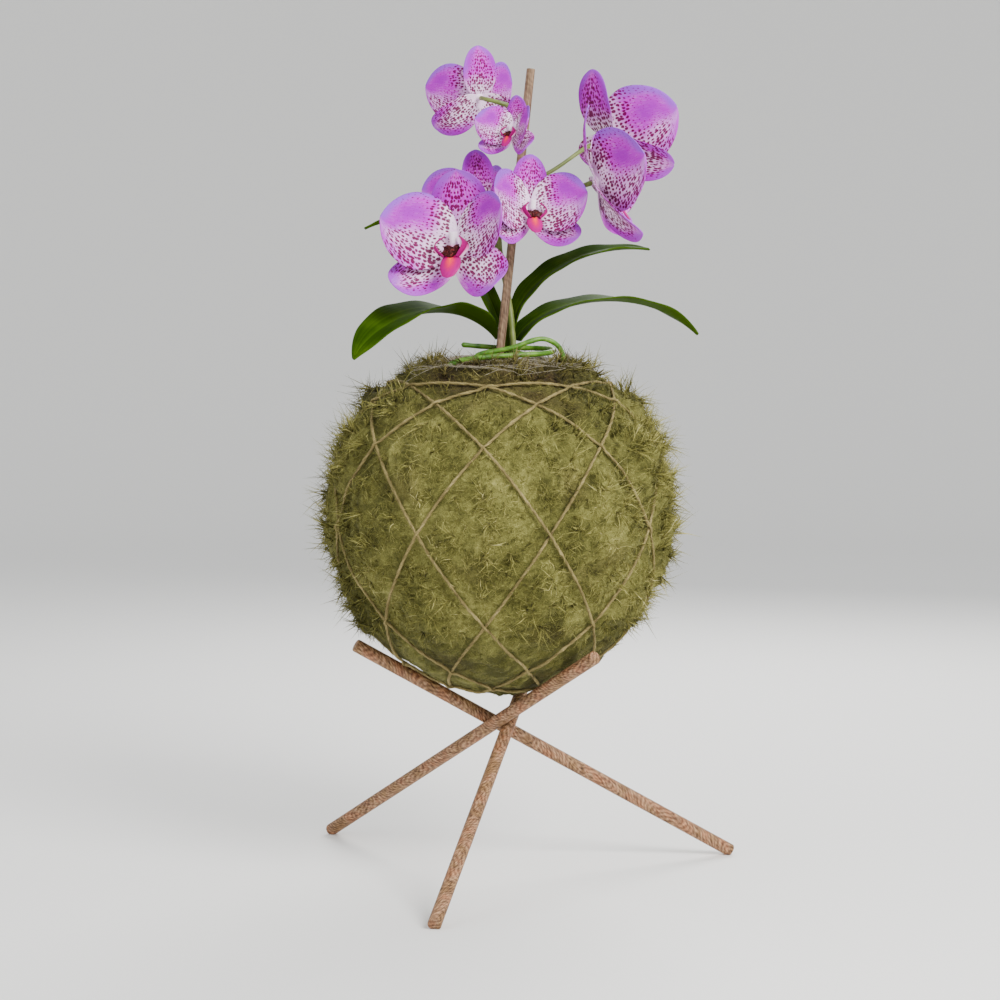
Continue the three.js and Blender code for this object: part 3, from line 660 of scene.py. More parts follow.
def split_bamboo():
    """Weathered bamboo: fibres 0.5 mm wide along the stick in tan and grey brown, faintly marked aslant
    where it was split, matt."""
    material, tree = new_material("split_bamboo", 0.68)
    own = add(tree, "Attribute", attribute_name="own").outputs["Vector"]
    along = add(tree, "Mapping", {"Vector": own, "Scale": (1.3, 1.3, 0.05)})
    fibre = add(tree, "TexNoise", {"Vector": along, "Scale": 1.2, "Detail": 5.0, "Roughness": 0.7})
    blotch = add(tree, "TexNoise", {"Vector": own, "Scale": 0.09, "Detail": 3.0})
    spread = add(tree, "MixRGB", {"Fac": 0.3, 1: fibre, 2: blotch})
    slant = add(tree, "TexWave", {"Vector": own, "Scale": 0.14, "Distortion": 7.0, "Detail": 3.0,
                                  "Detail Scale": 1.2}, bands_direction="DIAGONAL")
    marked = add(tree, "MixRGB", {"Fac": 0.06, 1: spread, 2: slant.outputs["Fac"]})
    colour = add(tree, "ValToRGB", {"Fac": marked},
                 stops=((0.32, "#372719"), (0.43, "#5a412c"), (0.53, "#7e644b"), (0.65, "#a38865")))
    relief = add(tree, "Bump", {"Height": fibre, "Strength": 0.5, "Distance": 0.0004})
    return dressed(material, colour, relief)


lean = STICK_TOP - STICK_FOOT
bar = rod_rings(np.linalg.norm(lean), STICK_RADIUS, STICK_EDGE, sides=28, count=90)
own = bar.copy()
bar[..., :2] *= (1 + 0.02 * waves(bar * [1, 1, 0.12], 5, 41))[..., None]
stick = turn_about(bar, 1, np.arctan2(lean[0], lean[2])) + STICK_FOOT
piece("bamboo_stick", [closed_skin(stick, own=own)], [split_bamboo()], ("support_stick",))


# Crown and strap leaves
# The plant's short stem carries four thick, leathery leaves, folded along the midrib into a shallow
# channel. Their skin is a deep waxy green, a little paler along the midrib and at the edge.

CROWN_AT = np.array([4.5, 7.0])
CROWN_FOOT = 296.0
CROWN_TOP = 338.0
CROWN_RADIUS = 5.8
LEAF_THICKNESS = 1.7
# Each leaf: its midrib's Bezier points, its width, how steep its channel is, and its roll at root and tip.
LEAVES = {
    "leaf_left": ([[-1.7, 7.2, 326], [-23, 12, 354], [-71.5, -35, 342.5], [-84.3, -66, 315]],
                  32, 0.36, (16, -28)),
    "leaf_right_low": ([[11.2, 9, 325], [21, 12, 348], [88, 31, 364.5], [125, 53.5, 328]],
                       28, 0.2, (14, -6)),
    "leaf_right_high": ([[8.8, 7.6, 333], [13, 9, 361], [51.5, 26, 385.5], [94, 50, 381.3]],
                        24.5, 0.3, (2, 13)),
    "leaf_left_high": ([[-0.1, 7.4, 333], [-11, 14, 370], [-44, 50, 414], [-84, 50, 394]],
                       21, 0.25, (0, 0)),
}


def blade_rings(surface, thickness, rows, around, tip=0.997):
    """Rings round a thin blade. surface(s, u) is its middle, from root to tip in s and from edge to edge
    in u. A ring goes round at u = cos a, standing off by thickness / 2 * sqrt(|sin a|) on either side."""
    a = angles(around)
    s, u = np.broadcast_arrays((eased(rows) * tip)[:, None], np.cos(a))
    step = 0.004
    along = surface(np.minimum(s + step, 1), u) - surface(np.maximum(s - step, 0), u)
    across = surface(s, np.minimum(u + step, 1)) - surface(s, np.maximum(u - step, -1))
    face = unit(np.cross(across, along))
    stand = np.sign(np.sin(a)) * np.sqrt(np.abs(np.sin(a))) * thickness / 2
    return surface(s, u) + face * stand[..., None], s, u


def waxy_leaf():
    """Moth-orchid leaf: a waxy deep green skin with veins 1.5 mm apart along it, paler below. The uv map
    holds how far across and how far along the blade a point lies, and tones where the midrib, the edge
    and the underside are."""
    material, tree = new_material("waxy_leaf", 0.5, Specular_IOR_Level=0.006)
    place = add(tree, "UVMap", uv_map="UVMap")
    veins = add(tree, "Mapping", {"Vector": place, "Scale": (18.0, 1.4, 1.0)})
    vein = add(tree, "TexNoise", {"Vector": veins, "Scale": 1.0, "Detail": 3.0, "Roughness": 0.6})
    own = add(tree, "TexCoord").outputs["Object"]
    cloud = add(tree, "TexNoise", {"Vector": own, "Scale": 45.0, "Detail": 3.0})
    spread = add(tree, "MixRGB", {"Fac": 0.55, 1: vein, 2: cloud})
    green = add(tree, "ValToRGB", {"Fac": spread},
                stops=((0.3, "#182b05"), (0.5, "#283f07"), (0.7, "#3d560c")))
    parts = add(tree, "SeparateColor", {"Color": add(tree, "Attribute", attribute_name="tones")})
    rib = add(tree, "MixRGB", {"Fac": parts.outputs[0], 1: green, 2: "#4e6e16"})
    under = add(tree, "MixRGB", {"Fac": parts.outputs[1], 1: rib, 2: "#3a5210"})
    relief = add(tree, "Bump", {"Height": vein, "Strength": 0.25, "Distance": 0.0004})
    return dressed(material, under, relief)


def leaf(rib, width, channel, roll, seed):
    """A blade along the cubic Bezier rib. Its half width is width / 2 * sin(pi (0.12 + 0.88 s)) ** 0.7; its
    two halves rise by channel times the distance from the rib, rolled about it by roll degrees from
    base to tip, and its edges sway by half a millimetre."""
    p = np.array(rib, float)

    def middle(s):
        m = 1 - s[..., None]
        s = s[..., None]
        return m ** 3 * p[0] + 3 * m ** 2 * s * p[1] + 3 * m * s ** 2 * p[2] + s ** 3 * p[3]

    def surface(s, u):
        ahead = unit(middle(np.minimum(s + 0.01, 1)) - middle(np.maximum(s - 0.01, 0)))
        level = unit(np.cross(ahead, [0, 0, 1]))
        turn = np.radians(roll[0] + (roll[1] - roll[0]) * s)[..., None]
        side = level * np.cos(turn) + np.cross(ahead, level) * np.sin(turn)
        face = np.cross(side, ahead)
        half = width / 2 * np.sin(np.pi * np.minimum(0.12 + 0.88 * s, 1)) ** 0.7
        sway = 0.5 * np.abs(u) ** 3 * np.sin(9 * s * np.pi + 2 * u + seed)
        fold = np.sqrt(u * u + 0.006) * half * channel + sway
        return middle(s) + side * (u * half)[..., None] + face * fold[..., None]

    rings, s, u = blade_rings(surface, LEAF_THICKNESS, rows=70, around=40)
    groove = hump(u, 0, 0.06) * 0.5 + smooth_step(np.abs(u), 0.93, 1.0) * 0.5
    below = np.broadcast_to(np.sin(angles(s.shape[1])) < 0, s.shape)
    tones = np.stack([groove * (1 - 0.6 * s), below * 0.8, s, s], -1)
    return closed_skin(rings, uv=np.stack([u / 2 + 0.5, s], -1), tones=tones)


waxy_green = waxy_leaf()
height = np.linspace(0, 1, 30)
girth = CROWN_RADIUS * np.clip(0.72 + height * 2, 0, 1) * np.sqrt(np.clip(1.02 - height ** 4, 0, 1))
girth *= 1 - 0.05 * np.abs(np.sin(height * 12))
stem = lathe(girth, CROWN_FOOT + (CROWN_TOP - CROWN_FOOT) * height, 32) + [*CROWN_AT, 0]
flat = np.zeros(stem.shape[:2] + (1,))
piece("orchid_crown", [closed_skin(stem, uv=flat + [0.5, 0.1], tones=flat + [0.1, 0.9, 0.0, 0.0])],
      [waxy_green], ("crown",))
for seed, (node, shape) in enumerate(LEAVES.items()):
    piece("waxy_" + node, [leaf(*shape, seed)], [waxy_green], (node,))


# Aerial roots
# Three fleshy roots, bright green while damp, that wander over the mouth of the moss and end bluntly.
# Dry brown rootlets, thin as thread, lie under them.

# Each root: the points it runs through, its radius, and how much of that is left at its two ends.
ROOTS = {
    "root_arch": ([[-17, -17.5, 311.8], [-12, -19, 317], [-3, -19, 318.8], [8, -19, 321], [18, -18, 324.6],
                   [26, -16, 326.3], [33, -14, 324], [37.5, -12, 319], [40, -10.5, 309.4]], 1.5, (0.45, 0.9)),
    "root_loop": ([[-23, 12, 322.5], [-12, 15, 321.5], [4, 14.8, 320.6], [18, 16, 320.4], [29, 9, 320],
                   [33, -4, 319], [27, -17, 317.6], [12, -26, 316.8], [-6, -30, 315.7], [-24, -31, 313.2],
                   [-37, -33, 307]], 1.6, (1, 0.5)),
    "root_short": ([[4.6, 1, 318.5], [5.2, -5, 319.2], [9, -9.5, 318.8], [16, -12, 316.8], [22, -13, 311]],
                   1.1, (1, 0.6)),
}
ROOTLETS = 120


def through(points, count):
    """Points along a Catmull-Rom curve through the given points, a little closer at its ends, and how far
    along they lie. Each span is half of 2 b + (c - a) t + (2 a - 5 b + 4 c - d) t ** 2
    + (3 b - 3 c + d - a) t ** 3."""
    p = np.array(points, float)
    p = np.concatenate([[2 * p[0] - p[1]], p, [2 * p[-1] - p[-2]]])
    a, b, c, d = p[:-3, None], p[1:-2, None], p[2:-1, None], p[3:, None]
    t = (np.arange(24) / 24)[None, :, None]
    spans = 2 * b + (c - a) * t + (2 * a - 5 * b + 4 * c - d) * t ** 2 + (3 * b - 3 * c + d - a) * t ** 3
    dense = np.concatenate([spans.reshape(-1, 3) / 2, p[-2:-1]])
    run = np.concatenate([[0], np.cumsum(np.linalg.norm(np.diff(dense, axis=0), axis=1))])
    station = run[-1] * (0.35 * eased(count) + 0.65 * np.linspace(0, 1, count))
    return np.stack([np.interp(station, run, dense[:, k]) for k in range(3)], -1), station


def round_tube(points, radius, count, sides, taper=lambda s: 1.0, knobs=0.0, seed=0):
    """Rings of a tube with rounded ends along the curve through points, and the same rings on a straight
    rod for its own attribute. taper(s) scales the radius, and knobs is how unevenly it swells. The
    section's frame is carried from ring to ring without a twist."""
    path, run = through(points, count)
    ahead = unit(np.gradient(path, axis=0))
    normal = np.empty_like(ahead)
    carried = np.eye(3)[np.argmin(np.abs(ahead[0]))]
    for k, direction in enumerate(ahead):
        carried = unit(carried - direction * (carried @ direction))
        normal[k] = carried
    binormal = np.cross(ahead, normal)
    near = np.clip(np.minimum(run, run[-1] - run) / radius, 0.02, 1)
    wide = radius * taper(run / run[-1]) * np.sqrt(1 - (1 - near) ** 2)
    wide = wide * (1 + knobs * waves(path, 7, seed))
    turn = angles(sides)
    x, y = np.cos(turn)[:, None], np.sin(turn)[:, None]
    rings = path[:, None] + wide[:, None, None] * (x * normal[:, None] + y * binormal[:, None])
    return rings, lathe(np.full(count, radius), run, sides)


def fleshy_root():
    """Orchid root: a spongy skin, bright green where it is damp and silvery in patches 6 mm long."""
    material, tree = new_material("fleshy_root", 0.5)
    own = add(tree, "Attribute", attribute_name="own").outputs["Vector"]
    patch = add(tree, "TexNoise", {"Vector": own, "Scale": 0.16, "Detail": 4.0, "Roughness": 0.6})
    colour = add(tree, "ValToRGB", {"Fac": patch},
                 stops=((0.3, "#2b5206"), (0.5, "#4a7a14"), (0.66, "#6f9a2e"), (0.8, "#9fb468")))
    relief = add(tree, "Bump", {"Height": patch, "Strength": 0.3, "Distance": 0.0004})
    return dressed(material, colour, relief)


green_root = fleshy_root()
for seed, (node, (points, radius, ends)) in enumerate(ROOTS.items()):
    rings, own = round_tube(points, radius, count=110, sides=18, knobs=0.05, seed=200 + seed,
                            taper=lambda s: np.minimum(1, np.minimum(ends[0] + 6 * s, ends[1] + 5 * (1 - s))))
    skin = closed_skin(rings, own=own + [0, 0, 90 * seed])
    piece("fleshy_" + node, [skin], [green_root], (node,))


def dry_rootlet():
    """Dead rootlet: papery grey brown."""
    material, tree = new_material("dry_rootlet", 0.85)
    own = add(tree, "Attribute", attribute_name="own").outputs["Vector"]
    patch = add(tree, "TexNoise", {"Vector": own, "Scale": 0.4, "Detail": 3.0})
    colour = add(tree, "ValToRGB", {"Fac": patch},
                 stops=((0.3, "#5f5644"), (0.55, "#8f8772"), (0.8, "#bdb6a2")))
    return dressed(material, colour)


def rootlet(draw):
    """A thread 0.5 mm thick that wanders outwards from near the crown, 2 to 4 mm above the ball's plain
    skin and 5 mm more where it climbs onto the moss round the mouth."""
    turn = draw.uniform(0, 2 * np.pi) + np.cumsum(draw.normal(0, 0.22, 7))
    out = draw.uniform(8, 22) + np.cumsum(draw.uniform(2.0, 9.5, 7))
    rise = BALL_UP * np.clip(1 - (out / BALL_RADIUS) ** SHOULDER, 0, 1) ** (1 / SHOULDER)
    lift = 1.8 + 2.2 * draw.uniform(0, 1, 7) * np.array([0.2, 0.8, 1, 1, 1, 0.8, 0.3])
    lift += 5 * smooth_step(out, 42, 60)
    points = np.stack([out * np.cos(turn), out * np.sin(turn), BALL_Z + rise + lift], -1)
    rings, own = round_tube(points, draw.uniform(0.2, 0.32), count=28, sides=5, taper=lambda s: 1 - 0.6 * s)
    return closed_skin(rings, own=own)


draw = np.random.default_rng(51)
piece("dry_rootlets", [rootlet(draw) for _ in range(ROOTLETS)], [dry_rootlet()])


# Flower spike
# One arching stem, dull green with a purple cast, and a slender stalk to each bloom. A papery bract
# clasps the stem where each stalk leaves it.

SPIKE_RADIUS = 2.0
STALK_RADIUS = 1.35
SPIKE = [[9.5, -3, 300], [9.5, -3, 313], [8.2, -2, 328], [6.6, 0, 345], [3, 1.5, 366], [0, 2.5, 386],
         [3, 3, 404], [9, 3, 422], [14.5, 2.5, 440], [14, 2, 455], [9, -3, 464], [1, -7, 467],
         [-7, -5, 469.3], [-11.4, 3, 471]]
HEART_RADIUS = 0.075
HEART_FLATTEN = 0.7
JOINT_GAP = 0.3
BRACT_THICKNESS = 0.5
# Each bloom: its middle, the length of a petal, yaw from the viewer, pitch up, roll, and its stalk.
BLOOMS = {
    "bloom_front_left": ([-24.8, -45, 383.7], 47.7, -20, 18, -3,
                         [[-0.5, 2.5, 384], [-8, -10, 379.5], [-16, -25, 378.5]]),
    "bloom_front_right": ([18.9, -35, 404.1], 35.5, 17, 20, 3,
                          [[3, 3, 401], [1.5, -8, 399], [8, -17, 397], [14, -25, 399]]),
    "bloom_top_left": ([-12.1, 5, 471.7], 34.5, 199, 20, 4, []),
    "bloom_top_small": ([8.2, -20, 450.3], 23.4, -32, 20, 2,
                        [[14.7, 2.5, 446], [9.5, -4, 446], [9.3, -10, 448]]),
    "bloom_right_high": ([66.8, 34, 450.1], 47.5, 129, 27, 3,
                         [[8, 3, 417], [30.9, 8, 426.9], [51.1, 19, 441]]),
    "bloom_right_low": ([57.7, -38, 419], 50.2, 88, 18, -4,
                        [[5, 3, 410], [27.6, -12, 416], [45, -33, 415.5]]),
    "bloom_behind": ([-13.8, 5, 409.8], 34.3, 204, 18, 4,
                     [[1.5, 2.5, 392], [-3, -6, 398], [-10, -7, 405]]),
}


def facing(points, at, yaw, pitch, roll):
    """Points of a bloom's own frame, +X right, +Y up and +Z to the front, rolled about Z, pitched about
    X, turned about the upright by yaw and moved to its place."""
    points = turn_about(points, 2, -np.radians(roll))
    points = turn_about(points, 0, np.radians(90 - pitch))
    return turn_about(points, 2, np.radians(yaw)) + at


def flower_stem():
    """Orchid stem: a smooth skin, green clouded with dull purple in patches 12 mm long."""
    material, tree = new_material("flower_stem", 0.45)
    own = add(tree, "Attribute", attribute_name="own").outputs["Vector"]
    patch = add(tree, "TexNoise", {"Vector": own, "Scale": 0.08, "Detail": 4.0, "Roughness": 0.6})
    colour = add(tree, "ValToRGB", {"Fac": patch},
                 stops=((0.32, "#4a5a22"), (0.5, "#66752f"), (0.65, "#7f8a45"), (0.8, "#7a5c50")))
    return dressed(material, colour)


def bract(at, heading):
    """A pointed scale 7 mm long that clasps the stem: radius 2.4 mm opening to 3.3 mm, over 150 degrees,
    narrowing as 1 - s ** 2 towards its tip."""
    def surface(s, u):
        wrap = np.radians(75) * u * (1 - s ** 2)
        reach = 2.4 + 0.9 * s
        return np.stack([reach * np.cos(wrap), reach * np.sin(wrap), 7.0 * s - 1.0], -1)

    rings, _, _ = blade_rings(surface, BRACT_THICKNESS, rows=12, around=16)
    return turn_about(rings, 2, np.arctan2(heading[1], heading[0])) + at


spike, own = round_tube(SPIKE, SPIKE_RADIUS, count=220, sides=20, knobs=0.03, seed=301,
                        taper=lambda s: 1 - 0.35 * s)
skins = [closed_skin(spike, own=own)]
for at, size, yaw, pitch, roll, stalk in BLOOMS.values():
    if stalk:
        behind = np.array([[0, 0, -HEART_RADIUS * HEART_FLATTEN * size - JOINT_GAP]])
        end = facing(behind, at, yaw, pitch, roll)[0]
        rings, own = round_tube([*stalk, end], STALK_RADIUS, count=60, sides=16, knobs=0.02, seed=302,
                                taper=lambda s: 0.88 + 0.3 * s ** 4)
        skins.append(closed_skin(rings, own=own))
        leaves = bract(np.array(stalk[0]) - [0, 0, 2], np.array(stalk[1]) - stalk[0])
        skins.append(closed_skin(leaves, own=leaves * 0.3))
piece("orchid_spike", skins, [flower_stem()], ("flower_spike",))


# Blooms
# Each has three narrow sepals behind and two broad petals before them, all white at the heart and lilac
# outwards, with a magenta blush and rows of wine-red spots along the veins, and a white column.

TEPAL_THICKNESS = 0.8
# Each tepal: its turn clockwise from upright, length and width as shares of the bloom's size, the two
# powers of its outline, how far it leans forward at its root and at its tip, its cup and its kind.
DORSAL = {"length": 0.91, "width": 0.61, "outline": (0.52, 0.52), "lean": (-14, 37), "cup": 0.02,
          "kind": "dorsal"}
LATERAL = {"length": 1.01, "width": 0.64, "outline": (0.5, 0.4), "lean": (-14, 46), "cup": -0.2,
           "kind": "lateral"}
PETAL = {"length": 1.0, "width": 1.04, "outline": (0.54, 0.56), "lean": (26, 47), "cup": -0.08,
         "kind": "petal"}
TEPALS = {
    "dorsal": {"turn": 0, **DORSAL},
    "lateral_right": {"turn": 130, **LATERAL},
    "lateral_left": {"turn": -130, **LATERAL},
    "petal_right": {"turn": 86, **PETAL},
    "petal_left": {"turn": -86, **PETAL},
}
# What the tepals of single blooms have of their own.
OWN_TEPALS = {
    "bloom_front_left": {"dorsal": {"width": 0.78}, "lateral_right": {"turn": 138},
                         "petal_right": {"turn": 75, "width": 0.78},
                         "petal_left": {"turn": -79, "width": 0.97}},
    "bloom_right_low": {"petal_left": {"turn": -80, "width": 0.98},
                        "lateral_left": {"turn": -140, "lean": (-4, 40)}},
}


def spotted_tepal(name, spot_size):
    """Orchid tepal: a satin skin. tones holds how blushed, how blue at the rim, how lilac and how spotted
    it is; own holds the vein lanes across and the rows along, a stretch of its own for each tepal."""
    material, tree = new_material(name, 0.55, IOR=1.12)
    tones = add(tree, "Attribute", attribute_name="tones")
    parts = add(tree, "SeparateColor", {"Color": tones.outputs["Color"]})
    lanes = add(tree, "Attribute", attribute_name="own").outputs["Vector"]
    thin = add(tree, "Mapping", {"Vector": lanes, "Scale": (2.2, 0.35, 1.0)})
    vein = add(tree, "TexNoise", {"Vector": thin, "Scale": 1.0, "Detail": 3.0, "Roughness": 0.6})
    ease = add(tree, "Math", {0: vein, 1: 0.5}, operation="SUBTRACT")
    lilac = add(tree, "Math", {0: ease, 1: 0.9, 2: parts.outputs[2]}, operation="MULTIPLY_ADD",
                use_clamp=True)
    base = add(tree, "MixRGB", {"Fac": lilac, 1: "#fdeafa", 2: "#c41cc8"})
    rim = add(tree, "MixRGB", {"Fac": parts.outputs[1], 1: base, 2: "#9448c8"})
    blush = add(tree, "Math", {0: ease, 1: 0.6, 2: 1.0}, operation="MULTIPLY_ADD")
    blush = add(tree, "Math", {0: blush, 1: parts.outputs[0]}, operation="MULTIPLY", use_clamp=True)
    skin = add(tree, "MixRGB", {"Fac": blush, 1: rim, 2: "#a000b4"})
    shift = add(tree, "TexNoise", {"Vector": lanes, "Scale": 0.5, "Detail": 1.0})
    wander = add(tree, "MixRGB", {"Fac": 0.8, 1: lanes, 2: shift.outputs["Color"]}, blend_type="ADD")
    squeeze = add(tree, "Mapping", {"Vector": wander, "Scale": (1.06, 0.54, 1.0)})
    cells = add(tree, "TexVoronoi", {"Vector": squeeze, "Scale": 1.0, "Randomness": 0.6},
                voronoi_dimensions="2D")
    pick = add(tree, "SeparateColor", {"Color": cells.outputs["Color"]})
    chance = add(tree, "Math", {0: pick.outputs[0], 1: 0.7, 2: 0.6}, operation="MULTIPLY_ADD")
    reach = add(tree, "Math", {0: tones.outputs["Alpha"], 1: spot_size}, operation="MULTIPLY")
    reach = add(tree, "Math", {0: reach, 1: chance}, operation="MULTIPLY")
    inside = add(tree, "Math", {0: reach, 1: cells.outputs["Distance"]}, operation="SUBTRACT")
    spot = add(tree, "MapRange", {"Value": inside, "From Min": -0.05, "From Max": 0.05, "To Max": 0.95})
    skin = add(tree, "MixRGB", {"Fac": spot, 1: skin, 2: "#64003a"})
    relief = add(tree, "Bump", {"Height": vein, "Strength": 0.25, "Distance": 0.0004})
    return dressed(material, skin, relief)


def streak(s, v, middle, width, start, end):
    """A dark line along v = middle that fades in over the stretch start and out over the stretch end, as
    smooth steps of s."""
    return 2.4 * hump(v, middle, width) * smooth_step(s, *start) * smooth_step(s, *end)


def tepal_tones(kind, s, v, seed):
    """How blushed, blue, lilac and spotted a tepal is at a share s of its length and v across, where v is
    1 at the edge nearer the dorsal sepal; soft bells placed as on the real petals."""
    stretch = np.stack([3 * s, 2 * v, 0 * s + 7 * seed], -1)
    s = s + 0.035 * waves(stretch, 2.0, 500)
    v = v + 0.08 * waves(stretch, 2.4, 501)
    edge = smooth_step(np.hypot(v, np.maximum(s - 0.45, 0) / 0.55), 0.78, 1.0)
    tip = smooth_step(s, 1.0, 0.8)
    if kind == "petal":
        blush = 1.3 * hump(s, 0.67, 0.18) * hump(v, 0.36, 0.27)
        blush += 0.8 * hump(s, 0.86, 0.13) * hump(v, -0.05, 0.28)
        rim = edge * smooth_step(s, 0.2, 0.55) * (0.25 + 0.75 * smooth_step(v, -0.6, 0.3))
        lilac = 0.18 + 0.55 * smooth_step(s, 0.1, 0.45) * smooth_step(v, -0.5, 0.2)
        lilac += 0.32 * smooth_step(s, 0.2, 0.5) + 0.2 * smooth_step(s, 0.7, 1.0)
        lilac += 0.35 * smooth_step(v, -0.35, -1.0)
        upper = 1.15 * smooth_step(s, 0.62, 0.44) * smooth_step(v, -0.1, 0.2)
        lower = (0.95 + 0.3 * smooth_step(v, 0.0, -0.7)) * smooth_step(v, 0.12, -0.2) * tip
        foot = 1.6 * hump(s, 0.24, 0.12) * hump(v, -0.65, 0.3)
        line = streak(s, v, 0.2 + 0.5 * s, 0.04, (0.16, 0.2), (0.36, 0.3))
        spots = np.maximum.reduce([upper, lower, foot, 0.6 * tip, line]) * smooth_step(s, 0.05, 0.14)
    elif kind == "dorsal":
        blush = 0.9 * hump(s, 0.74, 0.22) * hump(np.abs(v), 0.8, 0.28)
        rim = 0.9 * edge * smooth_step(s, 0.3, 0.6)
        lilac = 0.2 + 0.75 * smooth_step(s, 0.08, 0.6) + 0.2 * np.abs(v)
        line = streak(s, v, 0.55 - 0.9 * s, 0.05, (0.2, 0.25), (0.6, 0.5))
        spots = 1.1 * smooth_step(s, 0.03, 0.12) * tip * smooth_step(np.abs(v), 1.0, 0.75)
        spots = np.maximum(spots, line)
    else:
        blush = 0.8 * hump(s, 0.62, 0.25) * hump(v, -0.85, 0.25)
        rim = 0.6 * edge * smooth_step(s, 0.5, 0.9)
        lilac = 0.24 + 0.6 * smooth_step(np.abs(v), 0.2, 0.9) * smooth_step(s, 0.12, 0.45)
        lilac += 0.6 * smooth_step(s, 0.45, 1)
        line = streak(s, v, 0.1 + 0.3 * s, 0.04, (0.3, 0.35), (0.6, 0.55))
        spots = np.maximum(1.15 * smooth_step(s, 0.06, 0.2) * smooth_step(v, -1.0, -0.8) * tip, line)
    blush = np.clip(blush, 0, 1)
    spots = np.clip(spots * (1 - 0.75 * blush) * (1 - 0.4 * rim), 0, 2.5)
    return np.stack([blush, rim, np.clip(lilac, 0, 1), spots], -1)


def tepal(size, seed, turn, length, width, outline, lean, cup, kind):
    """A tepal of a bloom in the bloom's own frame. It bends steadily from lean[0] to lean[1] degrees
    from root to tip, half as wide as width size s ** a (1 - s) ** b over its own maximum, and cupped by
    cup times the half width times u ** 2; its edge ripples by a hundredth of the size."""
    low, high = outline
    widest = (low / (low + high)) ** low * (high / (low + high)) ** high
    start, end = np.radians(lean)
    bend = end - start
    bearing = np.radians(turn)
    sign = -1 if turn > 0 else 1

    def surface(s, u):
        tilt = start + bend * s
        out = length * size * (np.sin(tilt) - np.sin(start)) / bend
        ahead = length * size * (np.cos(start) - np.cos(tilt)) / bend
        half = width * size / 2 * np.maximum(s, 0.02) ** low * (1 - s) ** high / widest
        across = u * half
        beat = 2.4 * np.pi * s * (1 + 0.1 * seed % 0.5) + 1.7 * seed + u
        ripple = 0.012 * size * np.abs(u) ** 3 * np.sin(beat)
        crease = 0.008 * size * hump(u, 0, 0.12) * np.sin(np.pi * s)
        lift = cup * half * u * u + ripple * smooth_step(s, 0.2, 0.6) - crease
        return np.stack([out * np.sin(bearing) + across * np.cos(bearing),
                         out * np.cos(bearing) - across * np.sin(bearing), ahead + lift], -1)

    rings, s, u = blade_rings(surface, TEPAL_THICKNESS, rows=42, around=30, tip=0.9995)
    lanes, material = (15, 1) if kind == "petal" else (10, 0)
    own = np.stack([u * lanes * (0.3 + 0.7 * s ** 0.6) + 41 * seed, s * 29 + 17 * seed, 0 * s], -1)
    return closed_skin(rings, material, own=own, tones=tepal_tones(kind, s, u * sign, seed))


def ball_rings(radius, scale, count, sides):
    """Rings of a ball of the given radius about the origin, stretched by scale along each axis."""
    up = np.linspace(-np.pi / 2 + 0.12, np.pi / 2 - 0.12, count)
    return lathe(radius * np.cos(up), radius * np.sin(up), sides) * scale


def column(size):
    """The column: a rod 0.2 of the bloom's size long whose radius is 0.058 - 0.012 s of it, swelling by
    0.012 to a rounded hood at s = 0.8, and tipped down by 20 degrees; white, blushed pink at the hood."""
    s = np.concatenate([np.linspace(0, 0.82, 12), 0.82 + 0.18 * np.sin(np.linspace(0.15, np.pi / 2, 9))])
    radius = 0.058 - 0.012 * s + 0.012 * hump(s, 0.8, 0.13)
    radius *= np.sqrt(np.clip(1 - (np.maximum(s - 0.8, 0) / 0.2) ** 2, 0.01, 1))
    rings = lathe(radius * size, (s - 0.5) * 0.2 * size, 20)
    rings = turn_about(rings, 0, np.radians(110)) + [0, -0.02 * size, 0.1 * size]
    shape = rings.shape[:2]
    blush = np.broadcast_to((0.45 * smooth_step(s, 0.55, 1.0))[:, None], shape)
    plain = np.zeros(shape)
    own = np.stack([plain, plain + 3 * s[:, None], plain + 40], -1)
    return closed_skin(rings, own=own, tones=np.stack([blush, plain, plain + 0.05, plain], -1))


petal_skins = [spotted_tepal("spotted_sepal", 0.37), spotted_tepal("spotted_petal", 0.35)]
for order, (node, (at, size, yaw, pitch, roll, _)) in enumerate(BLOOMS.items()):
    changes = OWN_TEPALS.get(node, {})
    shapes = [{**shape, **changes.get(name, {})} for name, shape in TEPALS.items()]
    skins = [tepal(size, len(TEPALS) * order + k, **shape) for k, shape in enumerate(shapes)]
    heart = ball_rings(HEART_RADIUS * size, (1, 1, HEART_FLATTEN), count=10, sides=20)
    still = np.zeros(heart.shape[:2] + (1,))
    skins += [column(size), closed_skin(heart, own=still + [0, 0, 9], tones=still + [0.0, 0.0, 0.1, 0.0])]
    for skin in skins:
        skin["points"] = facing(skin["points"], at, yaw, pitch, roll)
    piece("spotted_" + node, skins, petal_skins, (node,))


# Lips
# The lip hangs below the column on a narrow claw: a folded middle lobe that is orange red in the
# middle and magenta at its sides, two magenta side lobes that curl up round the column, white
# inside, and a dark wart between them.

LIP_THICKNESS = 0.8
# The rest of the lip is measured as shares of the bloom's size.
MID_LOBE = {"top": 0.2, "tip": 0.55, "root": 0.06, "swell": 0.075, "z": 0.14, "forward": 0.12, "curl": 0.03,
            "fold": 0.25}
SIDE_LOBE = {"foot": -0.26, "tip": 0.02, "half": 0.058, "apart": 0.1, "bulge": 0.1, "z": 0.165,
             "forward": 0.05, "lean": 0.55}
CALLUS_AT = np.array([0, -0.19, 0.15])
CALLUS_RADIUS = 0.08
CLAW_FRONT = 0.14
CLAW_DOWN = 0.13
CLAW_RADIUS = 0.025


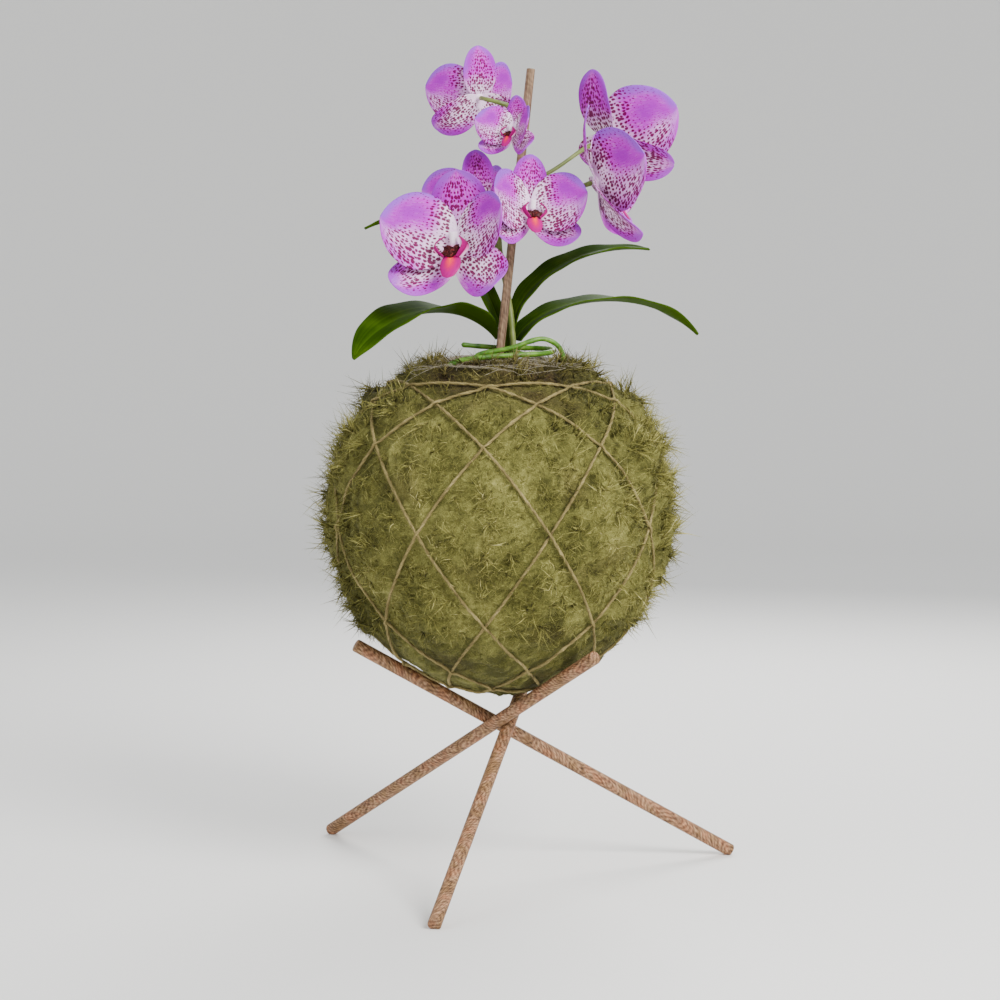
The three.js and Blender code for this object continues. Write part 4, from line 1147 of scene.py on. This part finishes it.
def waxy_lip():
    """Orchid lip: a waxy skin. tones runs from white through magenta to orange red in its red channel and
    is dark brown where its green is 1."""
    material, tree = new_material("waxy_lip", 0.35, IOR=1.2)
    parts = add(tree, "SeparateColor", {"Color": add(tree, "Attribute", attribute_name="tones")})
    own = add(tree, "Attribute", attribute_name="own").outputs["Vector"]
    mottle = add(tree, "TexNoise", {"Vector": own, "Scale": 1.1, "Detail": 3.0})
    shade = add(tree, "Math", {0: mottle, 1: 0.16, 2: parts.outputs[0]}, operation="MULTIPLY_ADD")
    shade = add(tree, "Math", {0: shade, 1: 0.08}, operation="SUBTRACT", use_clamp=True)
    colour = add(tree, "ValToRGB", {"Fac": shade},
                 stops=((0.0, "#fdeef6"), (0.2, "#ef6cc0"), (0.38, "#780044"), (0.55, "#a80074"),
                        (0.72, "#c8005a"), (0.86, "#ea2a44"), (1.0, "#ff6a38")))
    dark = add(tree, "ValToRGB", {"Fac": mottle},
               stops=((0.35, "#200a0c"), (0.55, "#4c1a1c"), (0.7, "#843a34")))
    whole = add(tree, "MixRGB", {"Fac": parts.outputs[1], 1: colour, 2: dark})
    relief = add(tree, "Bump", {"Height": mottle, "Strength": 0.2, "Distance": 0.0005})
    return dressed(material, whole, relief)


def middle_lobe(size, order):
    """The middle lobe: half as wide as root + swell sin(pi (0.1 + 0.9 s)), running down from top to tip
    while it comes forward and curls back, with its sides folded back as u ** 2."""
    lobe = MID_LOBE

    def surface(s, u):
        half = lobe["root"] + lobe["swell"] * np.sin(np.pi * np.minimum(0.9 * s + 0.1, 1))
        half = half * np.sqrt(np.clip((1.0 - s) / 0.08, 0, 1))
        forward = lobe["z"] + lobe["forward"] * s - lobe["curl"] * s ** 2 - lobe["fold"] * u * u * half
        return size * np.stack([u * half, -lobe["top"] - (lobe["tip"] - lobe["top"]) * s, forward], -1)

    rings, s, u = blade_rings(surface, LIP_THICKNESS, rows=26, around=24)
    warm = 0.53 + 0.43 * hump(u, 0, 0.42) * smooth_step(s, 0.95, 0.25)
    tones = np.stack([warm, 0 * s, 0 * s, 0 * s], -1)
    return closed_skin(rings, own=np.stack([u * 3, s * 6, 0 * s + order], -1), tones=tones)


def side_lobe(size, sign, order):
    """A side lobe: a narrow blade that rises from foot to tip, bulging outwards and forwards as half a
    sine, magenta outside and white towards the column."""
    lobe = SIDE_LOBE

    def surface(s, u):
        half = lobe["half"] * np.sin(np.pi * np.minimum(0.25 + 0.75 * s, 1))
        x = lobe["apart"] + lobe["bulge"] * np.sin(np.pi * np.minimum(1.1 * s, 1)) - lobe["lean"] * u * half
        y = lobe["foot"] + (lobe["tip"] - lobe["foot"]) * s
        return size * np.stack([sign * x, y, lobe["z"] + lobe["forward"] * np.sin(np.pi * s) + u * half], -1)

    rings, s, u = blade_rings(surface, LIP_THICKNESS, rows=22, around=16)
    white = smooth_step(s, 0.75, 0.1) * smooth_step(u, 0.2, -0.5)
    tones = np.stack([0.49 - 0.45 * white, 0 * s, 0 * s, 0 * s], -1)
    return closed_skin(rings, own=np.stack([u * 2, s * 6, 0 * s + 20 + order], -1), tones=tones)


def callus(size, order):
    """The wart on the lip: a ball stretched sideways and covered in blunt teeth a fifth of its radius
    high."""
    ball = ball_rings(CALLUS_RADIUS, (1.55, 0.9, 0.8), count=22, sides=30)
    teeth = 1 + 0.2 * waves(ball, 0.07, 700 + order)
    tones = np.broadcast_to([0.5, 1.0, 0.0, 0.0], ball.shape[:2] + (4,))
    return closed_skin((ball * teeth[..., None] + CALLUS_AT) * size, own=ball * 40, tones=tones)


def claw(size):
    """The claw that joins the lip to the heart, a rod that widens to the front by two fifths."""
    s = np.linspace(0, 1, 8)
    radius = CLAW_RADIUS * size
    back = radius + TEPAL_THICKNESS / 2 + 2 * JOINT_GAP
    rod = lathe(radius * (1 + 0.4 * s), back + (CLAW_FRONT * size - back) * s, 14)
    tones = np.broadcast_to([0.12, 0.0, 0.0, 0.0], rod.shape[:2] + (4,))
    return closed_skin(rod - [0, CLAW_DOWN * size, 0], own=rod * 0.5, tones=tones)


lip_skin = waxy_lip()
for order, (node, (at, size, yaw, pitch, roll, _)) in enumerate(BLOOMS.items()):
    skins = [middle_lobe(size, order), side_lobe(size, 1, order), side_lobe(size, -1, order),
             callus(size, order), claw(size)]
    for skin in skins:
        skin["points"] = facing(skin["points"], at, yaw, pitch, roll)
    piece("waxy_" + node + "_lip", skins, [lip_skin], (node + "_lip",))


# Floor and light
# A plain pale floor, with one broad soft light over the right shoulder, a weaker one on the left and
# a third behind, as in a small studio.

SWEEP_FLAT = 2.2
SWEEP_OUT = 1.6
SWEEP_UP = 2.4
SWEEP_POLE = 1e-6
# Each light: its place, its width in millimetres and its power in watts.
LIGHTS = {"key": ((680, -900, 1000), 700, 29.0), "fill": ((-1100, -700, 700), 900, 4.5),
          "back": ((300, 1000, 900), 700, 14.0)}
LIT_POINT = (0, 0, 250)


def matt_paint(name, colour):
    """Plain matt paint."""
    return new_material(name, 0.8, Base_Color=linear(colour))[0]


def paper_sweep():
    """A round sheet of paper in metres: flat from SWEEP_POLE, a micron off the middle, to SWEEP_FLAT, then
    curving up through a quarter of an ellipse SWEEP_OUT wide and SWEEP_UP high."""
    rise = np.linspace(0, np.pi / 2, 40)
    radius = np.concatenate([[SWEEP_POLE], SWEEP_FLAT + SWEEP_OUT * np.sin(rise)])
    height = np.concatenate([[0], SWEEP_UP - SWEEP_UP * np.cos(rise)])
    rings = lathe(radius, height, 96)
    quads = ring_quads(*rings.shape[:2])
    mesh = bpy.data.meshes.new("floor")
    mesh.from_pydata(rings.reshape(-1, 3).tolist(), [], quads[:, ::-1].tolist())
    mesh.polygons.foreach_set("use_smooth", np.ones(len(quads), bool))
    return mesh


floor = bpy.data.objects.new("floor", paper_sweep())
bpy.context.collection.objects.link(floor)
floor.data.materials.append(matt_paint("pale_floor", "#f2f0ec"))

for name, (spot, size, watts) in LIGHTS.items():
    data = bpy.data.lights.new(name, "AREA")
    data.shape = "DISK"
    data.size = size / 1000
    data.energy = watts
    lamp = bpy.data.objects.new(name, data)
    lamp.location = in_frame(spot)
    towards = Vector(in_frame(LIT_POINT) - in_frame(spot))
    lamp.rotation_euler = towards.to_track_quat("-Z", "Y").to_euler()
    bpy.context.collection.objects.link(lamp)

world = bpy.data.worlds.new("studio")
world.use_nodes = True
world.node_tree.nodes["Background"].inputs["Color"].default_value = linear("#dfe3e8")
world.node_tree.nodes["Background"].inputs["Strength"].default_value = 1.1
bpy.context.scene.world = world
